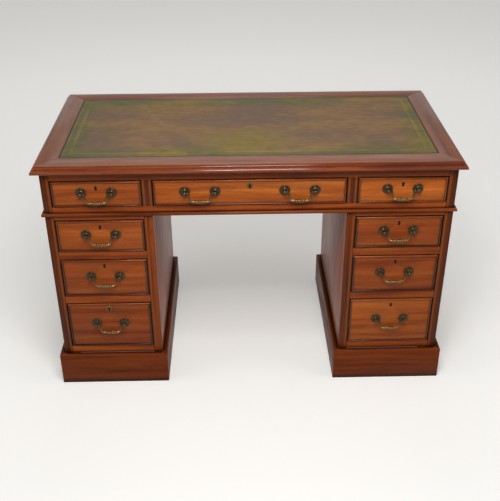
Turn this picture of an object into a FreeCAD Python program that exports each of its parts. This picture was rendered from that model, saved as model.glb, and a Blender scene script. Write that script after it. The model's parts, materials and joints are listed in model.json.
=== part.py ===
"""Mahogany pedestal desk: a leather-topped frieze with three drawers on two pedestals of three drawers each.

Millimetres. X runs along the front, Y from front to back and Z up. The origin is on the floor under the
middle of the desk, so the drawer fronts face -Y. Every size stands once in SIZES, which fills the sheet
of the same name. PLACES holds the formulas that follow from them.
"""
import FreeCAD
import Part
import Sketcher
import math
import os
import re

SIZES = {
    # The desk over all, and the writing top
    "desk_width": 1220,
    "desk_depth": 610,
    "desk_height": 760,
    "top_thick": 22,
    "top_overhang": 20,
    "border_width": 70,
    "leather_thick": 1.6,
    "leather_gap": 0.5,
    "edge_quirk": 2,
    "edge_round": 10,
    "edge_foot": 2.5,
    # Boards of the carcass
    "side_thick": 18,
    "back_thick": 11,
    "base_thick": 10,
    "post_depth": 20,
    "rail_depth": 60,
    "stile_width": 26,
    "corner_round": 4,
    # Frieze, from the pedestals up to the top
    "frieze_height": 138,
    "frieze_top_rail": 26,
    "frieze_bottom_rail": 29,
    "divider_width": 29,
    "bead_height": 11,
    "bead_reach": 8,
    # Pedestals
    "pedestal_width": 310,
    "pedestal_top_rail": 13,
    "upper_opening": 107,
    "middle_opening": 131,
    "blade_height": 25,
    "bottom_rail": 25,
    "plinth_height": 110,
    "plinth_reach": 15,
    "plinth_round": 3,
    "floor_gap": 5,
    # Drawer runners and guides, stops, and the pegs between frieze and pedestals
    "runner_width": 26,
    "runner_ledge": 18,
    "guide_height": 20,
    "stop_width": 32,
    "stop_depth": 14,
    "stop_height": 7,
    "stop_gap": 0.3,
    "stop_spread_share": 0.6,
    "peg_radius": 4,
    "peg_length": 26,
    "peg_spread": 360,
    "fit_gap": 0.1,
    # Drawers
    "drawer_gap": 1.5,
    "drawer_top_gap": 2.5,
    "run_gap": 0.3,
    "drawer_length": 520,
    "front_thick": 20,
    "lining_thick": 10,
    "lining_drop": 3,
    "back_drop": 9,
    "bottom_thick": 6,
    "bottom_lift": 10,
    "groove_depth": 5,
    "tail_length": 11,
    "tail_width_share": 0.62,
    "tail_slope_share": 0.16,
    "cock_width": 4,
    "cock_seat": 8,
    "cock_proud": 2.5,
    "cock_ease": 1.2,
    # Swan-neck handles
    "handle_spacing": 87,
    "handle_drop_share": 0.46,
    "handle_offset": 142,
    "pivot_out": 13,
    "bail_radius": 2.2,
    "bail_fit": 0.06,
    "bail_drop": 26,
    "bail_elbow": 5,
    "bail_corner": 8,
    "neck_inset": 12,
    "neck_taper": 4,
    "grip_radius": 3,
    "grip_belly": 4.2,
    "grip_ring": 4.8,
    "grip_ring_width": 4,
    "grip_collar": 1.6,
    "pin_past": 1.5,
    "pin_end_gap": 0.4,
    "ball_radius": 6.2,
    "post_neck": 4,
    "shank_radius": 2.5,
    "shank_spare": 4,
    "post_shoulder": 0.7,
    "rosette_radius": 15,
    "rosette_rim": 1.4,
    "rosette_boss": 4.4,
    "rosette_boss_radius": 5.2,
    # Locks
    "key_drop": 22,
    "key_radius": 2.7,
    "key_waist": 1.5,
    "key_flare": 2.1,
    "key_length": 8.2,
    "liner_wall": 0.9,
    "liner_depth": 7,
    "liner_proud": 0.3,
    "plate_radius": 8.5,
    "plate_thick": 1,
    "lock_width": 46,
    "lock_below": 18,
    "lock_thick": 9,
    # Runs past a face, for cuts
    "overrun": 3,
}

PLACES = {
    "case_x": "desk_width / 2 - top_overhang",
    "case_y": "desk_depth / 2 - top_overhang",
    "top_z": "desk_height - top_thick",
    "frieze_z": "top_z - frieze_height",
    "rail_back": "rail_depth - case_y",
    "post_back": "post_depth - case_y",
    "back_face": "case_y - back_thick",
    "front_back": "front_thick - case_y",
    "drawer_end": "drawer_length - case_y",
    "knee_x": "case_x - pedestal_width",
    "wall_outer": "case_x - side_thick",
    "wall_inner": "knee_x + side_thick",
    "bay_outer": "case_x - stile_width",
    "bay_inner": "knee_x + stile_width",
    "divider_x": "bay_inner - divider_width",
    "frieze_low": "frieze_z + frieze_bottom_rail",
    "frieze_high": "top_z - frieze_top_rail",
    "upper_high": "frieze_z - pedestal_top_rail",
    "upper_low": "upper_high - upper_opening",
    "middle_high": "upper_low - blade_height",
    "middle_low": "middle_high - middle_opening",
    "lower_high": "middle_low - blade_height",
    "lower_low": "plinth_height + bottom_rail",
    "post_x": "handle_spacing / 2",
    "neck_x": "post_x - neck_inset",
}

QUARTER_TURN = 90
FULL_TURN = 4 * QUARTER_TURN
ROUND_SIDES = 6
ROSETTE_SIDES = 8
BEND_STEPS = 2
KEY_HEAD_ANGLES = (0, 45, 90, 135, 180)
FLATS_SHARE = 1 / math.cos(math.pi / ROUND_SIDES)
SIDES = {"left": -1, "right": 1}

X_AXIS = FreeCAD.Vector(1, 0, 0)
Y_AXIS = FreeCAD.Vector(0, 1, 0)
Z_AXIS = FreeCAD.Vector(0, 0, 1)

doc = FreeCAD.newDocument("PedestalDesk")


def bound(text):
    """Write the sheet's name before each alias of an expression."""
    def with_sheet(match):
        word = match[0]
        if word in SIZES:
            return "Sizes." + word
        if word in PLACES:
            return "Places." + word
        return word
    return re.sub(r"[a-z_]+", with_sheet, text)


def fill_sheets():
    """Make the sheet of driving sizes and the sheet of formulas."""
    sizes = doc.addObject("Spreadsheet::Sheet", "Sizes")
    for row, (alias, size) in enumerate(SIZES.items(), start=1):
        sizes.set(f"A{row}", alias)
        sizes.set(f"B{row}", str(size))
        sizes.setAlias(f"B{row}", alias)
    doc.recompute()
    places = doc.addObject("Spreadsheet::Sheet", "Places")
    for row, alias in enumerate(PLACES, start=1):
        places.set(f"A{row}", alias)
        places.setAlias(f"B{row}", alias)
    for row, formula in enumerate(PLACES.values(), start=1):
        places.set(f"B{row}", "=" + bound(formula))
        doc.recompute()
    return sizes


sheet = fill_sheets()


def number(text):
    """Work out an expression with the sizes as they stand."""
    return float(sheet.evalExpression(bound(text)))


def place(piece, x, y, z, rotation=None):
    """Bind a piece's place to three expressions, with an optional fixed rotation."""
    if rotation is not None:
        piece.Placement = FreeCAD.Placement(FreeCAD.Vector(), rotation)
    for axis, text in zip("xyz", (x, y, z)):
        piece.setExpression("Placement.Base." + axis, bound(text))


def span(side, near, far):
    """Range in X between two distances from the middle of the desk, on its left or right."""
    if side > 0:
        return near, far
    return f"-({far})", f"-({near})"


def board(name, x, y, z):
    """Plain board between three ranges."""
    box = doc.addObject("Part::Box", name)
    for size, (low, high) in zip(("Length", "Width", "Height"), (x, y, z)):
        box.setExpression(size, bound(f"({high}) - ({low})"))
    place(box, x[0], y[0], z[0])
    return box


def rod(name, radius, length, x, y, z, along=Y_AXIS, sides=ROUND_SIDES):
    """Rod of a few flat sides from a point along an axis; the radius reaches its edges."""
    prism = doc.addObject("Part::Prism", name)
    prism.Polygon = sides
    prism.setExpression("Circumradius", bound(radius))
    prism.setExpression("Height", bound(length))
    place(prism, x, y, z, FreeCAD.Rotation(Z_AXIS, along))
    return prism


def bore(name, radius, length, x, y, z, along=Y_AXIS):
    """Cutting tool for a hole whose flat sides stand clear of a rod by the radius given."""
    return rod(name, f"({radius}) * {FLATS_SHARE}", length, x, y, z, along)


def turned(name, radius, length, eased_side, eased_end, x, y, z, along, both_ends=True, sides=ROUND_SIDES):
    """Turned piece of a few flat sides, eased at its far end or at both by two distances."""
    body = doc.addObject("PartDesign::Body", name)
    blank = body.newObject("PartDesign::AdditivePrism", name + "_blank")
    blank.Polygon = sides
    blank.setExpression("Circumradius", bound(radius))
    blank.setExpression("Height", bound(length))
    near_end, far_end = f"Face{sides + 1}", f"Face{sides + 2}"
    ease = body.newObject("PartDesign::Chamfer", name + "_ease")
    ease.Base = (blank, [near_end, far_end] if both_ends else [far_end])
    ease.ChamferType = "Two distances"
    ease.setExpression("Size", bound(eased_side))
    ease.setExpression("Size2", bound(eased_end))
    body.Tip = ease
    place(body, x, y, z, FreeCAD.Rotation(Z_AXIS, along))
    return body


def group(name, pieces):
    """Compound of separate solids."""
    compound = doc.addObject("Part::Compound", name)
    compound.Links = pieces
    return compound


def fuse(name, pieces):
    """One solid made of pieces that run into each other."""
    whole = doc.addObject("Part::MultiFuse", name)
    whole.Shapes = pieces
    return whole


def cut(name, base, tools):
    """Piece with the shapes of other pieces taken out of it."""
    result = doc.addObject("Part::Cut", name)
    result.Base = base
    result.Tool = group(name + "_tools", tools)
    return result


def sketch_on(body, name, role, offset=(None, None, None)):
    """Sketch on one of the body's origin planes, moved by expressions in the sketch's own axes."""
    sketch = body.newObject("Sketcher::SketchObject", name)
    plane = next(item for item in body.Origin.OriginFeatures if item.Role == role)
    sketch.AttachmentSupport = [(plane, "")]
    sketch.MapMode = "FlatFace"
    for axis, text in zip("xyz", offset):
        if text is not None:
            sketch.setExpression("AttachmentOffset.Base." + axis, bound(text))
    return sketch


def arc_between(start, end, radius, turn):
    """Arc of less than half a circle; turn is 1 for anticlockwise and -1 for clockwise."""
    chord = end - start
    half = chord.Length / 2
    middle = (start + end) / 2
    inward = FreeCAD.Vector(-chord.y, chord.x, 0).normalize() * turn
    circle = Part.Circle(middle + inward * math.sqrt(radius ** 2 - half ** 2), Z_AXIS, radius)
    first, last = (start, end) if turn > 0 else (end, start)
    return Part.ArcOfCircle(circle, circle.parameter(first), circle.parameter(last))


def draw(sketch, points, closed=True):
    """Draw an outline whose corners, and radii where it is round, are bound to expressions.

    A point is (x, y) where a straight line leaves it, or (x, y, radius, turn) where an arc does.
    """
    corners = [FreeCAD.Vector(number(point[0]), number(point[1]), 0) for point in points]
    count = len(points) if closed else len(points) - 1
    first = sketch.GeometryCount
    edges = []
    starts = []
    ends = []
    limits = []
    for index in range(count):
        start = corners[index]
        end = corners[(index + 1) % len(points)]
        start_mark, end_mark = 1, 2
        if len(points[index]) == 2:
            edges.append(Part.LineSegment(start, end))
        else:
            radius, turn = points[index][2:]
            edges.append(arc_between(start, end, number(radius), turn))
            limits.append((Sketcher.Constraint("Radius", first + index, number(radius)), radius))
            if turn < 0:
                start_mark, end_mark = 2, 1
        starts.append((first + index, start_mark))
        ends.append((first + index, end_mark))
    marks = starts if closed else starts + ends[-1:]
    for point, corner, mark in zip(points, corners, marks):
        limits.append((Sketcher.Constraint("DistanceX", -1, 1, *mark, corner.x), point[0]))
        limits.append((Sketcher.Constraint("DistanceY", -1, 1, *mark, corner.y), point[1]))
    following = starts[1:] + starts[:1] if closed else starts[1:]
    joins = [Sketcher.Constraint("Coincident", *end, *start) for end, start in zip(ends, following)]
    sketch.addGeometry(edges)
    rank = sketch.ConstraintCount + len(joins)
    sketch.addConstraint(joins + [limit for limit, text in limits])
    for index, (limit, text) in enumerate(limits):
        sketch.setExpression(f"Constraints[{rank + index}]", bound(text))


def padded(name, role, outlines, length, turned_back=False, symmetric=False):
    """Body made by padding a sketch of one or more outlines on an origin plane."""
    body = doc.addObject("PartDesign::Body", name)
    sketch = sketch_on(body, name + "_outline", role)
    for points in outlines:
        draw(sketch, points)
    pad = body.newObject("PartDesign::Pad", name + "_pad")
    pad.Profile = sketch
    pad.setExpression("Length", bound(length))
    pad.Reversed = turned_back
    if symmetric:
        pad.SideType = "Symmetric"
    body.Tip = pad
    return body


def mitred_strip(name, length, width, profile):
    """Moulded strip along X, mitred at both ends; the profile is (inwards, up) from its outer edge."""
    body = padded(name, "YZ_Plane", [profile], length, symmetric=True)
    sketch = sketch_on(body, name + "_mitres", "XY_Plane")
    end = f"({length}) / 2"
    for sign in ("", "-"):
        draw(sketch, [
            (f"{sign}({end} + overrun)", "-overrun"),
            (f"{sign}({end} + overrun)", f"({width}) + overrun"),
            (f"{sign}({end} - ({width}) - overrun)", f"({width}) + overrun"),
        ])
    mitre = body.newObject("PartDesign::Pocket", name + "_mitre")
    mitre.Profile = sketch
    mitre.Type = "ThroughAll"
    mitre.Reversed = True
    body.Tip = mitre
    return body


def mitred_frame(name, centre, across, along, width, profile, upright=False):
    """Four mitred strips round a rectangle that lies flat, or stands upright and faces -Y."""
    tilt = FreeCAD.Rotation(X_AXIS, QUARTER_TURN if upright else 0)
    reaches = ((0, -1), (1, 0), (0, 1), (-1, 0))
    strips = []
    for index, (right, up) in enumerate(reaches):
        strip = mitred_strip(f"{name}_{index}", along if right else across, width, profile)
        x, y, z = centre
        x = f"{x} + {right} * ({across}) / 2"
        rise = f" + {up} * ({along}) / 2"
        turn = FreeCAD.Rotation(Z_AXIS, index * QUARTER_TURN)
        if upright:
            place(strip, x, y, z + rise, tilt.multiply(turn))
        else:
            place(strip, x, y + rise, z, turn)
        strips.append(strip)
    return strips


def corner_post(name, side, inner, outer, low, high):
    """Front post with its free front corners eased."""
    x_low, x_high = span(side, inner, outer)
    points = [
        (f"{x_low} + corner_round", "-case_y"),
        (f"{x_high} - corner_round", "-case_y", "corner_round", 1),
        (x_high, "-case_y + corner_round"),
        (x_high, "post_back"),
        (x_low, "post_back"),
        (x_low, "-case_y + corner_round", "corner_round", 1),
    ]
    square_first = [(x_low, "-case_y")] + points[1:5]
    square_last = [points[0], (x_high, "-case_y")] + points[3:]
    outline = square_first if side > 0 else square_last
    post = padded(name, "XY_Plane", [outline], f"{high} - ({low})")
    place(post, "0", "0", low)
    return post


nodes = {}


def node(label, pieces):
    """Give a piece, or a group of pieces, the label that names its file."""
    whole = pieces[0] if len(pieces) == 1 else group(label + "_group", pieces)
    whole.Label = label
    nodes[label] = whole


def peg_places(side, x):
    """Places of the two pegs in one pedestal side, front and back."""
    return [(f"{side} * ({x})", f"{end} * peg_spread / 2") for end in (-1, 1)]


def pegged(name, piece, pegs):
    """Piece with blind holes for pegs that stand half above and half below the frieze's underside."""
    holes = []
    for index, (x, y) in enumerate(pegs):
        length = "peg_length + 2 * fit_gap"
        foot = "frieze_z - peg_length / 2 - fit_gap"
        holes.append(bore(f"{name}_hole_{index}", "peg_radius + fit_gap", length, x, y, foot, Z_AXIS))
    return cut(name, piece, holes)


OUTER_PEG_X = "(wall_outer + case_x) / 2"
INNER_PEG_X = "(knee_x + wall_inner) / 2"


def make_top():
    """Core panel, mitred border with its moulded edge, and the leather let into it."""
    inner_x = "(desk_width / 2 - border_width)"
    inner_y = "(desk_depth / 2 - border_width)"
    core_high = "desk_height - leather_thick"
    core = board("core", (f"-{inner_x}", inner_x), (f"-{inner_y}", inner_y), ("top_z", core_high))
    node("top_board", [core])
    edge = [
        ("edge_foot", "0"),
        ("border_width", "0"),
        ("border_width", "top_thick"),
        ("edge_round", "top_thick"),
        ("edge_round", "top_thick - edge_quirk", "edge_round", 1),
        ("0", "top_thick - edge_quirk - edge_round"),
        ("0", "edge_foot", "edge_foot", 1),
    ]
    centre = ("0", "0", "top_z")
    node("top_border", mitred_frame("border", centre, "desk_width", "desk_depth", "border_width", edge))
    skin_x = f"({inner_x} - leather_gap)"
    skin_y = f"({inner_y} - leather_gap)"
    skin = board("leather", (f"-{skin_x}", skin_x), (f"-{skin_y}", skin_y), (core_high, "desk_height"))
    node("writing_leather", [skin])


def make_frieze():
    """Ends, back, front frame, runners and base moulding of the frieze."""
    upright = ("frieze_z", "top_z")
    deep = ("post_back", "case_y")
    behind = ("rail_back", "back_face")
    ends = []
    frame = []
    runners = []
    for word, side in SIDES.items():
        end = board(f"{word}_frieze_end", span(side, "wall_outer", "case_x"), deep, upright)
        ends.append(pegged(f"{word}_frieze_end_pegged", end, peg_places(side, OUTER_PEG_X)))
        frame.append(corner_post(f"{word}_frieze_post", side, "bay_outer", "case_x", *upright))
        frame.append(board(f"{word}_divider", span(side, "divider_x", "bay_inner"), ("-case_y", "rail_back"),
                           ("frieze_low", "frieze_high")))
        outer = span(side, "wall_outer - runner_width", "wall_outer")
        inner = span(side, "divider_x - runner_ledge", "bay_inner + runner_ledge")
        low = ("frieze_z", "frieze_low")
        high = ("frieze_high", "top_z")
        guide = ("frieze_low", "frieze_low + guide_height")
        shared = board(f"{word}_shared_runner", inner, behind, low)
        runners.append(pegged(f"{word}_shared_runner_pegged", shared, peg_places(side, INNER_PEG_X)))
        runners.append(board(f"{word}_end_runner", outer, behind, low))
        runners.append(board(f"{word}_shared_kicker", inner, behind, high))
        runners.append(board(f"{word}_end_kicker", outer, behind, high))
        runners.append(board(f"{word}_divider_guide", span(side, "divider_x", "bay_inner"), behind, guide))
        runners.append(board(f"{word}_end_guide", span(side, "bay_outer", "wall_outer"),
                             ("post_back", "back_face"), guide))
    rail = ("-bay_outer", "bay_outer")
    frame.append(board("frieze_top_board", rail, ("-case_y", "rail_back"), ("frieze_high", "top_z")))
    frame.append(board("frieze_bottom_board", rail, ("-case_y", "rail_back"), ("frieze_z", "frieze_low")))
    back = board("frieze_back_board", ("-wall_outer", "wall_outer"), ("back_face", "case_y"), upright)
    bead = [
        ("bead_reach", "0"),
        ("bead_reach", "bead_height"),
        ("bead_height / 2", "bead_height", "bead_height / 2", 1),
        ("0", "bead_height / 2", "bead_height / 2", 1),
        ("bead_height / 2", "0"),
    ]
    bead_x = "2 * (case_x + bead_reach)"
    bead_y = "2 * (case_y + bead_reach)"
    centre = ("0", "0", "frieze_z")
    moulding = mitred_frame("base_bead", centre, bead_x, bead_y, "bead_reach", bead)
    for key, opening in FRIEZE_BAYS.items():
        runners += drawer_stops(key, opening, "frieze_low")
    node("frieze_ends", ends)
    node("frieze_back", [back])
    node("frieze_front_frame", frame)
    node("frieze_runners", runners)
    node("frieze_moulding", moulding)


def drawer_stops(key, opening, low):
    """Two blocks on the rail that the back of a closed drawer's front meets."""
    low_x, high_x = opening
    middle = f"(({low_x}) + ({high_x})) / 2"
    spread = f"(({high_x}) - ({low_x})) / 2 * stop_spread_share"
    stops = []
    for end in (-1, 1):
        x = f"{middle} + {end} * {spread}"
        stops.append(board(f"{key}_stop_{end + 1}", (f"{x} - stop_width / 2", f"{x} + stop_width / 2"),
                           ("front_back + stop_gap", "front_back + stop_gap + stop_depth"),
                           (low, f"{low} + stop_height")))
    return stops


def make_pedestal(word, side):
    """One pedestal's case, front frame, runners and plinth."""
    upright = ("floor_gap", "frieze_z")
    deep = ("post_back", "case_y")
    behind = ("rail_back", "back_face")
    inside = span(side, "wall_inner", "wall_outer")
    outer = board(f"{word}_outer_board", span(side, "wall_outer", "case_x"), deep, upright)
    inner = board(f"{word}_inner_board", span(side, "knee_x", "wall_inner"), deep, upright)
    node(f"{word}_outer_side", [pegged(f"{word}_outer_pegged", outer, peg_places(side, OUTER_PEG_X))])
    node(f"{word}_inner_side", [pegged(f"{word}_inner_pegged", inner, peg_places(side, INNER_PEG_X))])
    node(f"{word}_pedestal_back", [board(f"{word}_back_board", inside, ("back_face", "case_y"), upright)])
    node(f"{word}_pedestal_boards", [
        board(f"{word}_top", inside, behind, ("upper_high", "frieze_z")),
        board(f"{word}_base", inside, ("post_back", "back_face"),
              ("plinth_height - base_thick", "plinth_height")),
    ])
    frame = [
        corner_post(f"{word}_outer_stile", side, "bay_outer", "case_x", *upright),
        corner_post(f"{word}_inner_stile", -side, "-bay_inner", "-knee_x", *upright),
        board(f"{word}_top_rail", span(side, "bay_inner", "bay_outer"), ("-case_y", "rail_back"),
              ("upper_high", "frieze_z")),
    ]
    runners = []
    levels = {"upper": "middle_high", "middle": "lower_high", "lower": "plinth_height"}
    for level, under in levels.items():
        low = f"{level}_low"
        depth = (under, low)
        guide = (low, f"{low} + guide_height")
        bay = span(side, "bay_inner", "bay_outer")
        frame.append(board(f"{word}_{level}_rail", bay, ("-case_y", "rail_back"), depth))
        runners.append(board(f"{word}_{level}_outer_runner",
                             span(side, "wall_outer - runner_width", "wall_outer"), behind, depth))
        runners.append(board(f"{word}_{level}_inner_runner",
                             span(side, "wall_inner", "wall_inner + runner_width"), behind, depth))
        runners.append(board(f"{word}_{level}_outer_guide",
                             span(side, "bay_outer", "wall_outer"), ("post_back", "back_face"), guide))
        runners.append(board(f"{word}_{level}_inner_guide",
                             span(side, "wall_inner", "bay_inner"), ("post_back", "back_face"), guide))
        runners += drawer_stops(f"{word}_{level}", bay, low)
    node(f"{word}_front_frame", frame)
    node(f"{word}_runners", runners)
    base = [
        ("0", "0"),
        ("plinth_reach", "0"),
        ("plinth_reach", "plinth_height"),
        ("plinth_round", "plinth_height", "plinth_round", 1),
        ("0", "plinth_height - plinth_round"),
    ]
    centre = (f"{side} * (case_x + knee_x) / 2", "0", "0")
    width = "pedestal_width + 2 * plinth_reach"
    depth = "2 * (case_y + plinth_reach)"
    node(f"{word}_plinth", mitred_frame(f"{word}_plinth", centre, width, depth, "plinth_reach", base))


def make_pegs():
    """Loose pegs that locate the frieze on the pedestals."""
    foot = "frieze_z - peg_length / 2"
    pegs = []
    for word, side in SIDES.items():
        for x, y in peg_places(side, OUTER_PEG_X) + peg_places(side, INNER_PEG_X):
            pegs.append(rod(f"{word}_peg", "peg_radius", "peg_length", x, y, foot, Z_AXIS))
    node("locating_pegs", pegs)


def tails(root, reach, low, high, count, upward):
    """Corners of a row of dovetails along an upright edge."""
    cell = f"(({high}) - ({low})) / {count}"
    half_root = f"{cell} * tail_width_share / 2"
    half_tip = f"{half_root} + abs(({reach}) - ({root})) * tail_slope_share"
    points = []
    for index in range(count):
        middle = f"{low} + {cell} * ({index} + 1 / 2)"
        tail = [
            (root, f"{middle} - ({half_root})"),
            (reach, f"{middle} - ({half_tip})"),
            (reach, f"{middle} + {half_tip}"),
            (root, f"{middle} + {half_root}"),
        ]
        points += tail
    return points if upward else points[::-1]


def on_circle(radius, angle):
    """Offsets across and up to a point on a circle, as expressions."""
    turn = math.radians(angle)
    return f"({radius}) * {math.cos(turn):.9f}", f"({radius}) * {math.sin(turn):.9f}"


def key_outline(margin):
    """Keyhole: a round head over a flared slot, grown on every side by a margin."""
    waist = f"(key_waist + ({margin}))"
    head = f"(key_radius + ({margin}))"
    flare = f"(key_flare + ({margin}))"
    shoulder = f"-sqrt({head} ^ 2 - {waist} ^ 2)"
    foot = f"-(key_length + ({margin}))"
    round_head = [on_circle(head, angle) for angle in KEY_HEAD_ANGLES]
    return [(waist, shoulder)] + round_head + [(f"-{waist}", shoulder), (f"-{flare}", foot), (flare, foot)]


def bend(x, z, radius, start, turn):
    """Points of a wire's bend about a centre, in equal steps from one angle."""
    points = []
    for step in range(BEND_STEPS + 1):
        across, up = on_circle(radius, start + turn * step / BEND_STEPS)
        points.append((f"{x} + {across}", f"{z} + {up}"))
    return points


def make_bail(name, x, z):
    """Swan-neck bail on two pins, with a turned grip."""
    body = doc.addObject("PartDesign::Body", name + "_wire")
    route = sketch_on(body, name + "_route", "XZ_Plane")
    tip = "(post_x + pin_past)"
    grip_end = "(neck_x - neck_taper - bail_corner)"
    right = [(tip, "0")]
    right += bend("(neck_x + bail_elbow)", "-bail_elbow", "bail_elbow", QUARTER_TURN, QUARTER_TURN)
    right += bend(grip_end, "(bail_corner - bail_drop)", "bail_corner", 0, -QUARTER_TURN)
    left = [(f"-({across})", up) for across, up in reversed(right)]
    draw(route, right + left, closed=False)
    section = sketch_on(body, name + "_section", "YZ_Plane", (None, None, tip))
    draw(section, [on_circle("bail_radius", FULL_TURN * step / ROUND_SIDES) for step in range(ROUND_SIDES)])
    pipe = body.newObject("PartDesign::AdditivePipe", name + "_pipe")
    pipe.Profile = section
    pipe.Spine = (route, [f"Edge{index + 1}" for index in range(len(right + left) - 1)])
    pipe.Transition = "Right corner"
    body.Tip = pipe
    grip = turned(name + "_grip", "grip_belly", f"2 * {grip_end}", "grip_collar", "grip_belly - grip_radius",
                  f"-{grip_end}", "0", "-bail_drop", X_AXIS)
    ring = rod(name + "_ring", "grip_ring", "grip_ring_width", "-grip_ring_width / 2", "0", "-bail_drop",
               X_AXIS)
    whole = fuse(name, [body, grip, ring])
    place(whole, x, "-(case_y + pivot_out)", z)
    node(name, [whole])


def handle_brasses(name, x, z):
    """Two posts with their rosettes, each post bored from its inner side for the bail's pin."""
    pieces = []
    shank_length = "front_thick + shank_spare + rosette_boss + post_shoulder"
    ball_length = "pivot_out + ball_radius - rosette_boss"
    neck_ease = "ball_radius - post_neck"
    past = "(pin_past + pin_end_gap)"
    for word, side in SIDES.items():
        post_x = f"{x} + {side} * post_x"
        tag = f"{name}_{word}"
        shank = rod(f"{tag}_shank", "shank_radius", shank_length, post_x, "front_back + shank_spare", z,
                    -Y_AXIS)
        ball = turned(f"{tag}_ball", "ball_radius", ball_length, neck_ease, neck_ease, post_x,
                      "-(case_y + rosette_boss)", z, -Y_AXIS)
        blind_end = f"{post_x} + {side} * {past}"
        inwards = X_AXIS * -side
        pin_bore = bore(f"{tag}_pin_bore", "bail_radius + bail_fit", f"ball_radius + {past}", blind_end,
                        "-(case_y + pivot_out)", z, inwards)
        pieces.append(cut(f"{tag}_post", fuse(f"{tag}_post_blank", [shank, ball]), [pin_bore]))
        plate = turned(f"{tag}_rosette_blank", "rosette_radius", "rosette_boss", "rosette_boss - rosette_rim",
                       "rosette_radius - rosette_boss_radius", post_x, "-case_y", z, -Y_AXIS,
                       both_ends=False, sides=ROSETTE_SIDES)
        shank_hole = bore(f"{tag}_shank_hole", "shank_radius + fit_gap", "rosette_boss + 2 * overrun", post_x,
                          "-(case_y + rosette_boss + overrun)", z)
        pieces.append(cut(f"{tag}_rosette", plate, [shank_hole]))
    return pieces


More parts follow.
